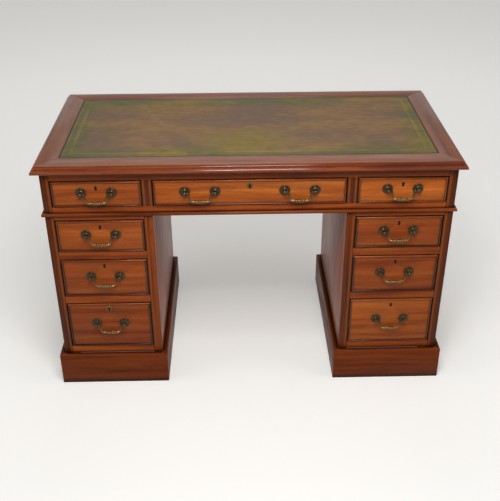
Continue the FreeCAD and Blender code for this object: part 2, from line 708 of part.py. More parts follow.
def make_drawer(key, bay, low_z, high_z, handles, tail_count, has_plate):
    """One drawer: beaded front, dovetailed lining, lock, and handles."""
    left = f"({bay[0]} + drawer_gap)"
    right = f"({bay[1]} - drawer_gap)"
    low = f"({low_z} + run_gap)"
    high = f"({high_z} - drawer_top_gap)"
    middle = f"(({bay[0]}) + ({bay[1]})) / 2"
    lining_high = f"({high} - lining_drop)"
    back_high = f"({lining_high} - back_drop)"
    bottom_low = f"({low} + bottom_lift)"
    bottom_high = f"({bottom_low} + bottom_thick)"
    key_z = f"({high_z} - key_drop)"
    handle_z = f"({high_z} - ({high_z} - {low_z}) * handle_drop_share)"
    handle_places = [f"{middle} + {offset}" for offset in handles]

    groove_left = f"{left} + lining_thick - groove_depth"
    groove_right = f"{right} - lining_thick + groove_depth"
    bottom = board(f"{key}_bottom", (groove_left, groove_right), ("front_back - groove_depth", "drawer_end"),
                   (bottom_low, bottom_high))
    back_root = "(drawer_end - lining_thick)"
    outline = [("front_back", low)]
    outline += tails("front_back", "front_back - tail_length", low, lining_high, tail_count, True)
    outline += [("front_back", lining_high), ("drawer_end", lining_high), ("drawer_end", back_high),
                (back_root, back_high)]
    outline += tails(back_root, "drawer_end", bottom_high, back_high, tail_count, False)
    outline += [(back_root, bottom_high), ("drawer_end", bottom_high), ("drawer_end", low)]
    linings = []
    for word, x in (("left", left), ("right", f"{right} - lining_thick")):
        lining = padded(f"{key}_{word}_lining", "YZ_Plane", [outline], "lining_thick")
        place(lining, x, "0", "0")
        linings.append(lining)
    back_blank = board(f"{key}_back_blank", (left, right), (back_root, "drawer_end"),
                       (bottom_high, back_high))
    box = [cut(f"{lining.Name}_grooved", lining, [bottom]) for lining in linings]
    box += [cut(f"{key}_back", back_blank, linings), bottom]
    node(f"{key}_drawer_box", box)

    seat = "-case_y + cock_seat"
    blank = padded(f"{key}_front_blank", "XZ_Plane", [[
        (left, low),
        (right, low),
        (right, high),
        (left, high),
    ]], "front_thick - cock_seat", turned_back=True)
    field = sketch_on(blank, f"{key}_field_outline", "XZ_Plane")
    draw(field, [
        (f"{left} + cock_width", f"{low} + cock_width"),
        (f"{right} - cock_width", f"{low} + cock_width"),
        (f"{right} - cock_width", f"{high} - cock_width"),
        (f"{left} + cock_width", f"{high} - cock_width"),
    ])
    face = blank.newObject("PartDesign::Pad", f"{key}_field")
    face.Profile = field
    face.setExpression("Length", bound("cock_seat"))
    blank.Tip = face
    place(blank, "0", seat, "0")
    key_hole = padded(f"{key}_key_hole", "XZ_Plane", [key_outline("liner_wall + fit_gap")],
                      "front_thick + overrun")
    place(key_hole, middle, "front_back", key_z)
    lock_low = f"{key_z} - lock_below"
    half_recess = "(lock_width / 2 + fit_gap)"
    recess = board(f"{key}_recess", (f"{middle} - {half_recess}", f"{middle} + {half_recess}"),
                   ("front_back - lock_thick", "front_back + overrun"),
                   (f"{lock_low} - fit_gap", f"{high} + overrun"))
    tools = linings + [bottom, key_hole, recess]
    for index, handle_x in enumerate(handle_places):
        for word, side in SIDES.items():
            tools.append(bore(f"{key}_{word}_post_hole_{index}", "shank_radius + fit_gap",
                              "front_thick + 2 * overrun", f"{handle_x} + {side} * post_x",
                              "-case_y - overrun", handle_z))
    cock_high = "(cock_seat + cock_proud)"
    nose = [
        ("0", "0"),
        ("cock_width", "0"),
        ("cock_width", f"{cock_high} - cock_ease"),
        ("cock_width - cock_ease", cock_high),
        ("cock_ease", cock_high),
        ("0", f"{cock_high} - cock_ease"),
    ]
    centre = (f"({left} + {right}) / 2", seat, f"({low} + {high}) / 2")
    beads = mitred_frame(f"{key}_cock_bead", centre, f"{right} - {left}", f"{high} - {low}", "cock_width",
                         nose, upright=True)
    node(f"{key}_drawer_front", [cut(f"{key}_front", blank, tools)] + beads)

    brasses = []
    for index, handle_x in enumerate(handle_places):
        brasses += handle_brasses(f"{key}_handle_{index}", handle_x, handle_z)
    brasses.append(board(f"{key}_lock", (f"{middle} - lock_width / 2", f"{middle} + lock_width / 2"),
                         ("front_back - lock_thick", "front_back"), (lock_low, high)))
    liner = padded(f"{key}_liner", "XZ_Plane", [key_outline("liner_wall"), key_outline("0")],
                   "liner_depth + liner_proud")
    place(liner, middle, "liner_depth - case_y", key_z)
    brasses.append(liner)
    if has_plate:
        disc = rod(f"{key}_plate_blank", "plate_radius", "plate_thick", middle, "-case_y - plate_thick",
                   key_z, sides=ROSETTE_SIDES)
        brasses.append(cut(f"{key}_plate", disc, [key_hole]))
    node(f"{key}_brasses", brasses)
    for index, handle_x in enumerate(handle_places):
        suffix = "" if len(handle_places) == 1 else f"_{list(SIDES)[index]}"
        make_bail(f"{key}_bail{suffix}", handle_x, handle_z)


FRIEZE_BAYS = {
    "frieze_left": span(-1, "bay_inner", "bay_outer"),
    "frieze_centre": ("-divider_x", "divider_x"),
    "frieze_right": span(1, "bay_inner", "bay_outer"),
}
PAIR = ("-handle_offset", "handle_offset")
FRIEZE_TAILS = 2
LEVEL_TAILS = {"upper": 3, "middle": 3, "lower": 4}
PLATED = ("frieze_centre", "left_lower")

make_top()
make_frieze()
for pedestal, sign in SIDES.items():
    make_pedestal(pedestal, sign)
make_pegs()
for drawer, opening in FRIEZE_BAYS.items():
    places = PAIR if drawer == "frieze_centre" else ("0",)
    make_drawer(drawer, opening, "frieze_low", "frieze_high", places, FRIEZE_TAILS, drawer in PLATED)
for pedestal, sign in SIDES.items():
    for tier, tail_count in LEVEL_TAILS.items():
        drawer = f"{pedestal}_{tier}"
        opening = span(sign, "bay_inner", "bay_outer")
        make_drawer(drawer, opening, f"{tier}_low", f"{tier}_high", ("0",), tail_count, drawer in PLATED)

doc.recompute()
for item in doc.Objects:
    if "Invalid" in item.State or "Error" in item.State:
        raise RuntimeError(f"{item.Label} failed: {item.State}")
for label, whole in nodes.items():
    shape = whole.Shape
    if shape.isNull() or not shape.isValid() or not shape.Solids:
        raise RuntimeError(f"{label} has no valid solid")
os.makedirs("parts", exist_ok=True)
for label, whole in nodes.items():
    whole.Shape.exportStep(f"parts/{label}.step")
    print(f"{label}: {len(whole.Shape.Solids)} solids, {whole.Shape.Volume:.0f} mm3")
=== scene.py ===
"""Looks of a mahogany pedestal desk: french-polished timber, a worn writing leather and aged brass handles.

Places are in metres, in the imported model's frame: X runs along the front, Y from front to back and Z up,
so the drawer fronts face -Y. Sizes that a maker would read off the desk are in millimetres, as mm in their
names or a class's own words say, and MM turns them to metres.
"""
import json
import logging
import math
import random
import zlib
from collections import Counter
from collections.abc import Callable, Iterable, Iterator
from contextlib import contextmanager
from dataclasses import dataclass, field, replace
from enum import Enum
from functools import partial
from itertools import pairwise

import bpy
import numpy as np
from mathutils import Matrix, Vector, noise

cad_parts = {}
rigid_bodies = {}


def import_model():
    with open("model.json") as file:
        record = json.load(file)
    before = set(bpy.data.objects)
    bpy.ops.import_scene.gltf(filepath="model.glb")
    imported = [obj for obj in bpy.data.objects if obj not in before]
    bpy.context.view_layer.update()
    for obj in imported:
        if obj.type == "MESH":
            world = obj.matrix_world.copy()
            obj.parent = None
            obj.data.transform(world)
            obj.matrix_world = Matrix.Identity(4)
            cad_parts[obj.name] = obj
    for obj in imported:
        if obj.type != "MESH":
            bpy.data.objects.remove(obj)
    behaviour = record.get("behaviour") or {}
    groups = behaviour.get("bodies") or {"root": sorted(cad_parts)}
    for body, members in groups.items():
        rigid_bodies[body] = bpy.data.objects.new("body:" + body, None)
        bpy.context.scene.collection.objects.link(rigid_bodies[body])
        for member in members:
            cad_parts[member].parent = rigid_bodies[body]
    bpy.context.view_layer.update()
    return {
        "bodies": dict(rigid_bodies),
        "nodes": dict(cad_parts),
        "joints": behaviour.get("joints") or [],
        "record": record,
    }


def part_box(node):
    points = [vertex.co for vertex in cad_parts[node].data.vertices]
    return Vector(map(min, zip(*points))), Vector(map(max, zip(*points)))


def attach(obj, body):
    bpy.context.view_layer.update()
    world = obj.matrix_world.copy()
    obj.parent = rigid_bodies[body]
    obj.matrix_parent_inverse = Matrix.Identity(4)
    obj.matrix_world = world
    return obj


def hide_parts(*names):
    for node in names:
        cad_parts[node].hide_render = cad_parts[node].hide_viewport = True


LOG = logging.getLogger("pedestal_desk")
MM = 0.001
# Points nearer than this are one point
NEAR = 0.001 * MM
ROOT_BODY = "desk"

Piece = bpy.types.Object
Nodes = dict[str, bpy.types.Object]
Socket = bpy.types.NodeSocket
# What adds a node to one tree: add_node with its first argument given
Adder = Callable[..., Socket]
Triple = tuple[float, float, float]
Rows = tuple[tuple[float, ...], ...]


class Slot(Enum):
    """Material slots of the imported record."""

    TOP = "top_mahogany"
    CARCASS = "carcass_mahogany"
    FRONT = "front_mahogany"
    PLINTH = "plinth_mahogany"
    LINING = "drawer_lining"
    SECONDARY = "secondary_timber"
    LEATHER = "leather"
    BRASS = "brass"


class Axis(Enum):
    """Axis that a turned piece is made along, with the turn of its first circle."""

    OUTWARDS = ((0.0, -1.0, 0.0), (math.pi / 2, 0.0, 0.0))
    SIDEWAYS = ((1.0, 0.0, 0.0), (0.0, math.pi / 2, 0.0))

    @property
    def direction(self) -> Vector:
        """Unit vector along the axis."""
        return Vector(self.value[0])

    @property
    def turn(self) -> Triple:
        """Euler angles that lay a circle across the axis."""
        return self.value[1]


class Side(Enum):
    """Left and right of the desk, as its sitter sees them."""

    LEFT = -1
    RIGHT = 1

    @property
    def word(self) -> str:
        """Name of the side as the nodes spell it."""
        return self.name.lower()


def linear(code: str) -> tuple[float, float, float, float]:
    """Turn an sRGB hex colour into linear RGBA.

    Args:
        code: Colour as #rrggbb.

    Returns:
        Red, green, blue and a full alpha.
    """
    channels = [int(code[place:place + 2], 16) / 255 for place in (1, 3, 5)]
    red, green, blue = [c / 12.92 if c <= 0.04045 else ((c + 0.055) / 1.055) ** 2.4 for c in channels]
    return red, green, blue, 1.0


def add_node(tree: bpy.types.NodeTree, kind: str, inputs: dict | None = None, out: int | str = 0,
             **settings) -> Socket | None:
    """Add a node, give it its settings, and set or link its inputs.

    Args:
        tree: Node tree of a material or of the world.
        kind: Blender's name for the node's type, after ShaderNode.
        inputs: Number, colour or output socket for each input, by its name or place.
        out: Name or place of the output that is wanted.
        settings: The node's own properties.

    Returns:
        The output, or None where the node has none.
    """
    node = tree.nodes.new("ShaderNode" + kind)
    for name, value in settings.items():
        setattr(node, name, value)
    for place, value in (inputs or {}).items():
        if isinstance(value, Socket):
            tree.links.new(value, node.inputs[place])
        else:
            node.inputs[place].default_value = value
    return node.outputs[out] if node.outputs else None


# Places of the mix node's colour sockets, whose names its other kinds share
SHARE, UNDER, OVER, MIXED = 0, 6, 7, 2
COLOURS = {"data_type": "RGBA", "clamp_factor": True}
# A map range node's first five sockets are the value, its range, and the range that it is stretched to
SOFT = {"interpolation_type": "SMOOTHSTEP"}


def patches(add: Adder, place: Socket, sizes_mm: Triple, detail: float, swirl: float = 0.0,
            out: str = "Fac") -> Socket:
    """Cloudy pattern whose patches have given sizes.

    Args:
        add: Adds a node to the material.
        place: Socket of the coordinates, in metres.
        sizes_mm: Size of a patch along each coordinate.
        detail: Layers of finer patches in it.
        swirl: How far the patches are drawn out of shape.
        out: Fac for one value from 0 to 1, Color for three.

    Returns:
        Socket of the pattern.
    """
    scale = tuple(1 / (size * MM) for size in sizes_mm)
    spread = add("Mapping", {"Vector": place, "Scale": scale})
    return add("TexNoise", {"Vector": spread, "Scale": 1.0, "Detail": detail, "Distortion": swirl}, out)


def background_rays(add: Adder) -> Socket:
    """Tell the rays that show the background, straight, mirrored or through glass, from the rest.

    Args:
        add: Adds a node to the floor's material or to the world.

    Returns:
        Socket that is 1 for such rays and 0 for the others.
    """
    rays = add("LightPath").node.outputs
    seen = rays["Is Camera Ray"]
    for kind in ("Is Glossy Ray", "Is Transmission Ray"):
        seen = add("Math", {0: seen, 1: rays[kind]}, operation="MAXIMUM")
    return seen


@dataclass(frozen=True)
class Finish:
    """A surface finish, made into a Blender material on first use. The floor's has no slot."""

    name: str
    slot: Slot | None

    def material(self) -> bpy.types.Material:
        """Make the finish's material, or find it where it has been made.

        Returns:
            The material.
        """
        made = bpy.data.materials.get(self.name)
        if made is None:
            made = bpy.data.materials.new(self.name)
            made.use_nodes = True
            made.node_tree.nodes.clear()
            add = partial(add_node, made.node_tree)
            add("OutputMaterial", {"Surface": add("BsdfPrincipled", self.paint(add))})
        return made

    def paint(self, add: Adder) -> dict:
        """Lay out the nodes of the look, and return what the principled shader's inputs get."""
        raise NotImplementedError


@dataclass(frozen=True)
class Timber(Finish):
    """Planed timber under polish or bare.

    The eye gets a wavy figure along the grain that goes from light to dark, finer streaks in it, short
    open pores, edges lighter from rubbing and a painted highlight, painted shade with some soiling in the
    corners and round the drawers, and a slightly uneven gloss. The grain runs along each board by the
    board's own grain attribute, in metres, and its tone attribute makes one board a little lighter than
    the next. The opening attribute goes up to 1 at an edge beside a drawer, which gets the painted shadow
    of the gap, and a strip beside it is lighter from rubbing and a painted highlight.
    """

    light: str
    mid: str
    dark: str
    pore: str
    figure_mm: float = 18.0
    run_mm: float = 380.0
    sway_mm: float = 22.0
    sway_patch_mm: Triple = (240.0, 70.0, 70.0)
    pore_mm: Triple = (13.0, 0.8, 0.8)
    gloss_patch_mm: Triple = (160.0, 45.0, 45.0)
    figure_share: float = 0.55
    streak_share: float = 0.4
    pore_share: float = 0.4
    tone_reach: float = 0.4
    dark_hue: float = 0.5
    # Strength and reach of the painted shade, with some soiling, that occlusion lays into corners, gaps and
    # under overhangs
    grime: float = 0.9
    grime_mm: float = 8.0
    # Share and reach of the lighter edges, partly rubbing and partly painted highlight
    wear: float = 0.6
    wear_mm: float = 2.5
    # Lighter strip beside a drawer, partly rubbing and partly painted highlight
    handled: float = 0.42
    # Painted shadow of the gap at an edge beside a drawer
    soiled: float = 0.8
    roughness: tuple[float, float] = (0.28, 0.42)
    relief: float = 0.12
    relief_mm: float = 0.3
    shine: float = 0.2
    coat: float = 0.08
    coat_roughness: float = 0.12

    def paint(self, add: Adder) -> dict:
        """Lay out the timber's nodes.

        Args:
            add: Adds a node to the material.

        Returns:
            Inputs of the principled shader.
        """
        grain = add("Attribute", out="Vector", attribute_name="grain")
        opening = add("Attribute", out="Vector", attribute_name="opening")
        tone = add("Attribute", out="Fac", attribute_name="tone")
        sway = patches(add, grain, self.sway_patch_mm, detail=1.0, out="Color")
        reach = (0.0, self.sway_mm * MM, self.sway_mm * MM)
        wavy = add("VectorMath", {0: sway, 1: reach, 2: grain}, operation="MULTIPLY_ADD")
        across, run = self.figure_mm, self.run_mm
        figure = patches(add, wavy, (run, across, 1.6 * across), detail=3.0)
        streak = patches(add, wavy, (run / 3, across / 7, across / 5), detail=3.0)
        # Real pores are a quarter as wide; these are drawn coarse enough to show in a picture
        pores = patches(add, grain, self.pore_mm, detail=1.0)
        uneven = patches(add, grain, self.gloss_patch_mm, detail=3.0)
        beside = add("SeparateXYZ", {0: opening}).node.outputs
        nearest = add("Math", {0: beside["X"], 1: beside["Y"]}, operation="MAXIMUM")
        # Occlusion inside the solid finds its edges, which get lighter as rubbing and painted highlight
        within = add("AmbientOcclusion", {"Distance": self.wear_mm * MM}, "AO", samples=6, inside=True,
                     only_local=True)
        # Occlusion paints shade, with some soiling, into corners, gaps and under overhangs
        occlusion = add("AmbientOcclusion", {"Distance": self.grime_mm * MM}, "AO", samples=6)
        # Each row is a pattern, the range of it that counts, and what that range is stretched to
        lower, upper, lines, sunk, handled, soiled, edges, corner_shade_and_soiling, gloss = [
            add("MapRange", dict(enumerate(row)), **SOFT) for row in (
                (figure, 0.30, 0.52, 0.0, 1.0),
                (figure, 0.50, 0.74, 0.0, self.figure_share),
                (streak, 0.50, 0.72, 0.0, self.streak_share),
                (pores, 0.56, 0.70, 0.0, self.pore_share),
                (nearest, 0.05, 0.50, 0.0, self.handled),
                (nearest, 0.70, 0.92, 0.0, self.soiled),
                (within, 0.92, 0.45, 0.0, self.wear),
                (occlusion, 0.50, 1.00, self.grime, 0.0),
                (uneven, 0.30, 0.70, *self.roughness),
            )]
        rubbed = add("Math", {0: edges, 1: uneven}, operation="MULTIPLY")
        dark, mid, light, pore = map(linear, (self.dark, self.mid, self.light, self.pore))
        colour = dark
        for share, over in ((lower, mid), (upper, light), (lines, dark), (sunk, pore)):
            colour = add("Mix", {SHARE: share, UNDER: colour, OVER: over}, MIXED, **COLOURS)
        value = add("MapRange", {0: tone, 3: 1 - self.tone_reach, 4: 1 + self.tone_reach})
        redder = add("MapRange", {0: tone, 2: 0.5, 3: self.dark_hue, 4: 0.5})
        colour = add("HueSaturation", {"Hue": redder, "Value": value, "Color": colour})
        # Lay on the lighter strip and painted gap shadow beside the drawers, edges lightened by rubbing and
        # painted highlight, and painted shade with soiling in the corners
        for share, over in ((handled, light), (soiled, pore), (rubbed, light), (corner_shade_and_soiling, pore)):
            colour = add("Mix", {SHARE: share, UNDER: colour, OVER: over}, MIXED, **COLOURS)
        hollow = add("Math", {0: sunk, 1: -1.0}, operation="MULTIPLY")
        height = add("Math", {0: streak, 1: 0.5, 2: hollow}, operation="MULTIPLY_ADD")
        bump = add("Bump", {"Strength": self.relief, "Distance": self.relief_mm * MM, "Height": height})
        return {
            "Base Color": colour, "Roughness": gloss, "IOR": 1.5, "Normal": bump,
            "Specular IOR Level": self.shine, "Coat Weight": self.coat,
            "Coat Roughness": self.coat_roughness, "Coat IOR": 1.5,
        }


@dataclass(frozen=True)
class WornLeather(Finish):
    """Glazed hide, dyed green, with faded gold tooling.

    Long use has rubbed the dye off the middle in streaks, which show the brown hide, and a yellower green
    is left where the sitter writes. The green stays near the edges, where two tooled borders run round, and
    old soiling darkens the rim.
    """

    half_width: float = 0.5395
    half_depth: float = 0.2345
    green: str = "#4f4f1e"
    moss: str = "#756520"
    hide: str = "#7f6039"
    shade: str = "#654a35"
    gold: str = "#9a8542"
    rim: str = "#170f08"
    line_mm: tuple[float, ...] = (7.0, 25.0, 31.0)
    line_half_mm: float = 0.9
    bead_row_mm: float = 28.0
    bead_pitch_mm: float = 7.0
    blotch_mm: Triple = (260.0, 110.0, 110.0)
    cloud_mm: Triple = (300.0, 130.0, 130.0)
    cloud_shift: Triple = (3.1, 1.7, 0.0)
    scuff_mm: Triple = (50.0, 9.0, 9.0)
    mottle_mm: Triple = (34.0, 13.0, 13.0)
    pebble_mm: float = 2.2
    shine: float = 0.24
    relief: float = 0.18
    relief_mm: float = 0.4
    worn_mm: tuple[float, float] = (32.0, 130.0)
    stray_mm: float = 65.0
    ragged_mm: float = 60.0
    rim_mm: tuple[float, float] = (1.5, 6.0)
    sitter_place: Triple = (0.0, -0.12, 0.76)
    sitter_reach: Triple = (0.17, 0.08, 1.0)

    def paint(self, add: Adder) -> dict:
        """Lay out the leather's nodes.

        Args:
            add: Adds a node to the material.

        Returns:
            Inputs of the principled shader.
        """
        place = add("TexCoord", out="Object")
        along = add("SeparateXYZ", {0: place}).node.outputs
        insets = []
        for axis, half in (("X", self.half_width), ("Y", self.half_depth)):
            from_middle = add("Math", {0: along[axis]}, operation="ABSOLUTE")
            insets.append(add("Math", {0: half, 1: from_middle}, operation="SUBTRACT"))
        inset = add("Math", dict(enumerate(insets)), operation="MINIMUM")
        blotch = patches(add, place, self.blotch_mm, detail=5.0, swirl=0.3)
        away = add("VectorMath", {0: place, 1: self.cloud_shift})
        cloud = patches(add, away, self.cloud_mm, detail=4.0, swirl=0.3)
        scuff = patches(add, place, self.scuff_mm, detail=4.0)
        mottle = patches(add, place, self.mottle_mm, detail=6.0, swirl=0.5)
        stray = self.stray_mm * MM
        strayed = add("Math", {0: blotch, 1: 2 * stray, 2: -stray}, operation="MULTIPLY_ADD")
        strayed = add("Math", {0: inset, 1: strayed})
        strayed = add("Math", {0: mottle, 1: self.ragged_mm * MM, 2: strayed}, operation="MULTIPLY_ADD")
        sitter = add("VectorMath", {0: place, 1: self.sitter_place}, operation="SUBTRACT")
        sitter = add("VectorMath", {0: sitter, 1: self.sitter_reach}, operation="DIVIDE")
        sitter = add("VectorMath", {0: sitter}, "Value", operation="LENGTH")
        sitter = add("Math", {0: mottle, 1: 1.2, 2: sitter}, operation="MULTIPLY_ADD")
        # Each row is a pattern, the range of it that counts, and what that range is stretched to
        worn, mossy, shaded, olive, scratched, left, grime, gloss = [
            add("MapRange", dict(enumerate(row)), **SOFT) for row in (
                (strayed, *(mm * MM for mm in self.worn_mm), 0.0, 1.0),
                (cloud, 0.42, 0.66, 0.0, 1.0),
                (cloud, 0.66, 0.36, 0.0, 1.0),
                (sitter, 0.9, 1.9, 0.7, 0.0),
                (scuff, 0.50, 0.72, 0.0, 0.25),
                (blotch, 0.36, 0.62, 0.05, 0.45),
                (inset, *(mm * MM for mm in self.rim_mm), 0.95, 0.0),
                (cloud, 0.3, 0.7, 0.40, 0.55),
            )]
        tooled = self.tooling(add, inset, insets[0], along)
        gilt = add("Math", {0: tooled, 1: left}, operation="MULTIPLY")
        green, moss, hide, shade, gold, rim = map(
            linear, (self.green, self.moss, self.hide, self.shade, self.gold, self.rim))
        dyed = add("Mix", {SHARE: mossy, UNDER: green, OVER: moss}, MIXED, **COLOURS)
        rubbed = add("Mix", {SHARE: shaded, UNDER: hide, OVER: shade}, MIXED, **COLOURS)
        rubbed = add("Mix", {SHARE: olive, UNDER: rubbed, OVER: moss}, MIXED, **COLOURS)
        colour = dyed
        for share, over in ((worn, rubbed), (scratched, shade)):
            colour = add("Mix", {SHARE: share, UNDER: colour, OVER: over}, MIXED, **COLOURS)
        value = add("MapRange", {0: mottle, 1: 0.3, 2: 0.7, 3: 0.74, 4: 1.12})
        colour = add("HueSaturation", {"Value": value, "Color": colour})
        for share, over in ((gilt, gold), (grime, rim)):
            colour = add("Mix", {SHARE: share, UNDER: colour, OVER: over}, MIXED, **COLOURS)
        pebbles = add("TexVoronoi", {"Vector": place, "Scale": 1 / (self.pebble_mm * MM)}, "Distance")
        height = add("Math", {0: tooled, 1: -1.5, 2: pebbles}, operation="MULTIPLY_ADD")
        bump = add("Bump", {"Strength": self.relief, "Distance": self.relief_mm * MM, "Height": height})
        return {
            "Base Color": colour, "Roughness": gloss, "IOR": 1.47, "Normal": bump,
            "Specular IOR Level": self.shine,
        }

    def tooling(self, add: Adder, inset: Socket, inset_x: Socket,
                along: bpy.types.bpy_prop_collection) -> Socket:
        """Draw the tooled lines and the row of small beads between two of them.

        Args:
            add: Adds a node to the material.
            inset: Distance in from the nearest edge.
            inset_x: Distance in from the nearer end.
            along: Sockets of the place along each axis.

        Returns:
            Socket that is 1 on the tooling and 0 elsewhere.
        """
        half, pitch = self.line_half_mm * MM, self.bead_pitch_mm * MM
        drawn, *marks = [add("Math", {0: inset, 1: distance * MM, 2: half}, operation="COMPARE")
                         for distance in self.line_mm]
        row = add("Math", {0: inset, 1: self.bead_row_mm * MM, 2: 2 * half}, operation="COMPARE")
        beside_end = add("Math", {0: inset, 1: inset_x, 2: NEAR}, operation="COMPARE")
        elsewhere = add("Math", {0: 1.0, 1: beside_end}, operation="SUBTRACT")
        run = add("Math", {0: along["X"], 1: elsewhere}, operation="MULTIPLY")
        run = add("Math", {0: along["Y"], 1: beside_end, 2: run}, operation="MULTIPLY_ADD")
        wave = add("Math", {0: run, 1: pitch / 2}, operation="PINGPONG")
        beads = add("Math", {0: wave, 1: pitch / 5}, operation="LESS_THAN")
        marks.append(add("Math", {0: row, 1: beads}, operation="MULTIPLY"))
        for mark in marks:
            drawn = add("Math", {0: drawn, 1: mark}, operation="MAXIMUM")
        return drawn


@dataclass(frozen=True)
class AgedBrass(Finish):
    """Cast and turned brass that has gone brown where fingers don't reach, under old wax.

    The rub attribute says how much a place is handled: rubbed brass is yellow and smooth, the rest nearly
    black.
    """

    patina: str = "#362a14"
    rubbed: str = "#9a7440"
    patch_mm: float = 4.0
    roughness: tuple[float, float] = (0.32, 0.24)
    wax: float = 0.5
    relief: float = 0.15
    relief_mm: float = 0.1

    def paint(self, add: Adder) -> dict:
        """Lay out the brass's nodes.

        Args:
            add: Adds a node to the material.

        Returns:
            Inputs of the principled shader.
        """
        rub = add("Attribute", out="Fac", attribute_name="rub")
        place = add("TexCoord", out="Object")
        specks = patches(add, place, (self.patch_mm,) * 3, detail=4.0)
        handled = add("Math", {0: specks, 1: 0.6, 2: -0.3}, operation="MULTIPLY_ADD")
        handled = add("Math", {0: rub, 1: handled})
        clean = add("MapRange", {0: handled, 1: 0.1, 2: 1.0}, **SOFT)
        colours = {SHARE: clean, UNDER: linear(self.patina), OVER: linear(self.rubbed)}
        colour = add("Mix", colours, MIXED, **COLOURS)
        dull = add("MapRange", dict(enumerate((handled, 0.1, 0.9, *self.roughness))), **SOFT)
        bump = add("Bump", {"Strength": self.relief, "Distance": self.relief_mm * MM, "Height": specks})
        return {
            "Base Color": colour, "Metallic": 1.0, "Roughness": dull, "Normal": bump,
            "Coat Weight": self.wax, "Coat Roughness": 0.08,
        }


@dataclass(frozen=True)
class PaleFloor(Finish):
    """Matt painted floor, plain and nearly white further away, that keeps the desk's soft shadow."""

    pale: str = "#f2f1ee"
    bounce: str = "#c0beba"
    near_glow: float = 0.28
    far_glow: float = 0.42
    reach: tuple[float, float] = (0.9, 3.2)

    def paint(self, add: Adder) -> dict:
        """Lay out the floor's nodes.

        Args:
            add: Adds a node to the material.

        Returns:
            Inputs of the principled shader.
        """
        seen = background_rays(add)
        bounce, pale = linear(self.bounce), linear(self.pale)
        colour = add("Mix", {SHARE: seen, UNDER: bounce, OVER: pale}, MIXED, **COLOURS)
        away = add("VectorMath", {0: add("TexCoord", out="Object")}, "Value", operation="LENGTH")
        far = add("MapRange", dict(enumerate((away, *self.reach, self.near_glow, self.far_glow))), **SOFT)
        glow = add("Math", {0: far, 1: seen}, operation="MULTIPLY")
        return {
            "Base Color": colour, "Roughness": 0.7, "IOR": 1.4, "Specular IOR Level": 0.2,
            "Emission Color": pale, "Emission Strength": glow,
        }


# French-polished mahogany. The top has faded to a browner tone and keeps the most shine, and its edges are
# the lightest, from rubbing and a painted highlight
TOP_MAHOGANY = Timber(
    "polished_mahogany_top", Slot.TOP, light="#9c5a32", mid="#7b3f1f", dark="#5e2c14", pore="#2a1006",
    figure_share=0.35, shine=0.36, coat=0.1, grime=0.6, grime_mm=4.0, wear=1.0)
# The moulding round it is redder, and its thick polish draws fine bright lines
EDGE_MAHOGANY = Timber(
    "polished_mahogany_moulding", Slot.TOP, light="#9a5024", mid="#762f0f", dark="#501e08", pore="#1e0a03",
    roughness=(0.22, 0.32), shine=0.15, coat=0.5, coat_roughness=0.1, grime_mm=4.0)
# The cases are a warm red-brown with a soft gloss
CARCASS_MAHOGANY = Timber(
    "polished_mahogany_carcass", Slot.CARCASS, light="#ba6022", mid="#984513", dark="#6a2b09",
    pore="#1c0902", shine=0.15, coat=0.05, wear=0.3)
# The sides of the kneehole have quieter grain and a smoother face
KNEE_MAHOGANY = replace(CARCASS_MAHOGANY, name="polished_mahogany_kneehole", streak_share=0.15, relief=0.03,
                        roughness=(0.33, 0.4), shine=0.2)
# The boards of the front frames differ more in tone
FRAME_MAHOGANY = replace(CARCASS_MAHOGANY, name="polished_mahogany_frames", tone_reach=0.65)
# The drawer fronts are the lightest and most orange
FRONT_MAHOGANY = Timber(
    "polished_mahogany_fronts", Slot.FRONT, light="#dc8236", mid="#bc6122", dark="#9c4a16", pore="#200b02",
    streak_share=0.3, dark_hue=0.492, shine=0.15, coat=0.05, grime_mm=6.0)
# The beads round them are dark, with bright noses from rubbing and a painted highlight, and painted
# shade in the gap round them
BEAD_MAHOGANY = Timber(
    "polished_mahogany_beads", Slot.FRONT, light="#d88c48", mid="#7c3a12", dark="#562408", pore="#140601",
    figure_share=0.15, tone_reach=0.7, roughness=(0.2, 0.28), shine=0.1, coat=0.6, grime=0.85, grime_mm=4.0,
    wear_mm=1.0)
# Knocks and damp have dulled the plinths, and painted shade with some soiling darkens them towards the
# floor
PLINTH_MAHOGANY = Timber(
    "polished_mahogany_plinth", Slot.PLINTH, light="#9c4b1b", mid="#853b14", dark="#61280b", pore="#1d0b03",
    roughness=(0.36, 0.52), shine=0.1, coat=0.0, grime_mm=18.0)
# Planed oak without polish is straw brown and matt
OAK_LINING = Timber(
    "bare_oak_linings", Slot.LINING, light="#c29a68", mid="#a67c4c", dark="#845d36", pore="#4c3118",
    figure_mm=10.0, run_mm=300.0, roughness=(0.55, 0.7), coat=0.0, grime=0.5)
# So is the plainer timber of the hidden parts, with a broader figure
SECONDARY_TIMBER = Timber(
    "bare_secondary_timber", Slot.SECONDARY, light="#b28a5c", mid="#94693f", dark="#6f4a29", pore="#402814",
    figure_mm=22.0, roughness=(0.6, 0.75), coat=0.0, grime=0.5)
LEATHER = WornLeather("worn_green_leather", Slot.LEATHER)
BRASS = AgedBrass("aged_brass", Slot.BRASS)
FLOOR_PAINT = PaleFloor("pale_floor", None)


def choose(piece: Piece) -> None:
    """Leave one object selected and active.

    Args:
        piece: Object to select, with no object in edit mode.
    """
    bpy.ops.object.select_all(action="DESELECT")
    piece.select_set(True)
    bpy.context.view_layer.objects.active = piece


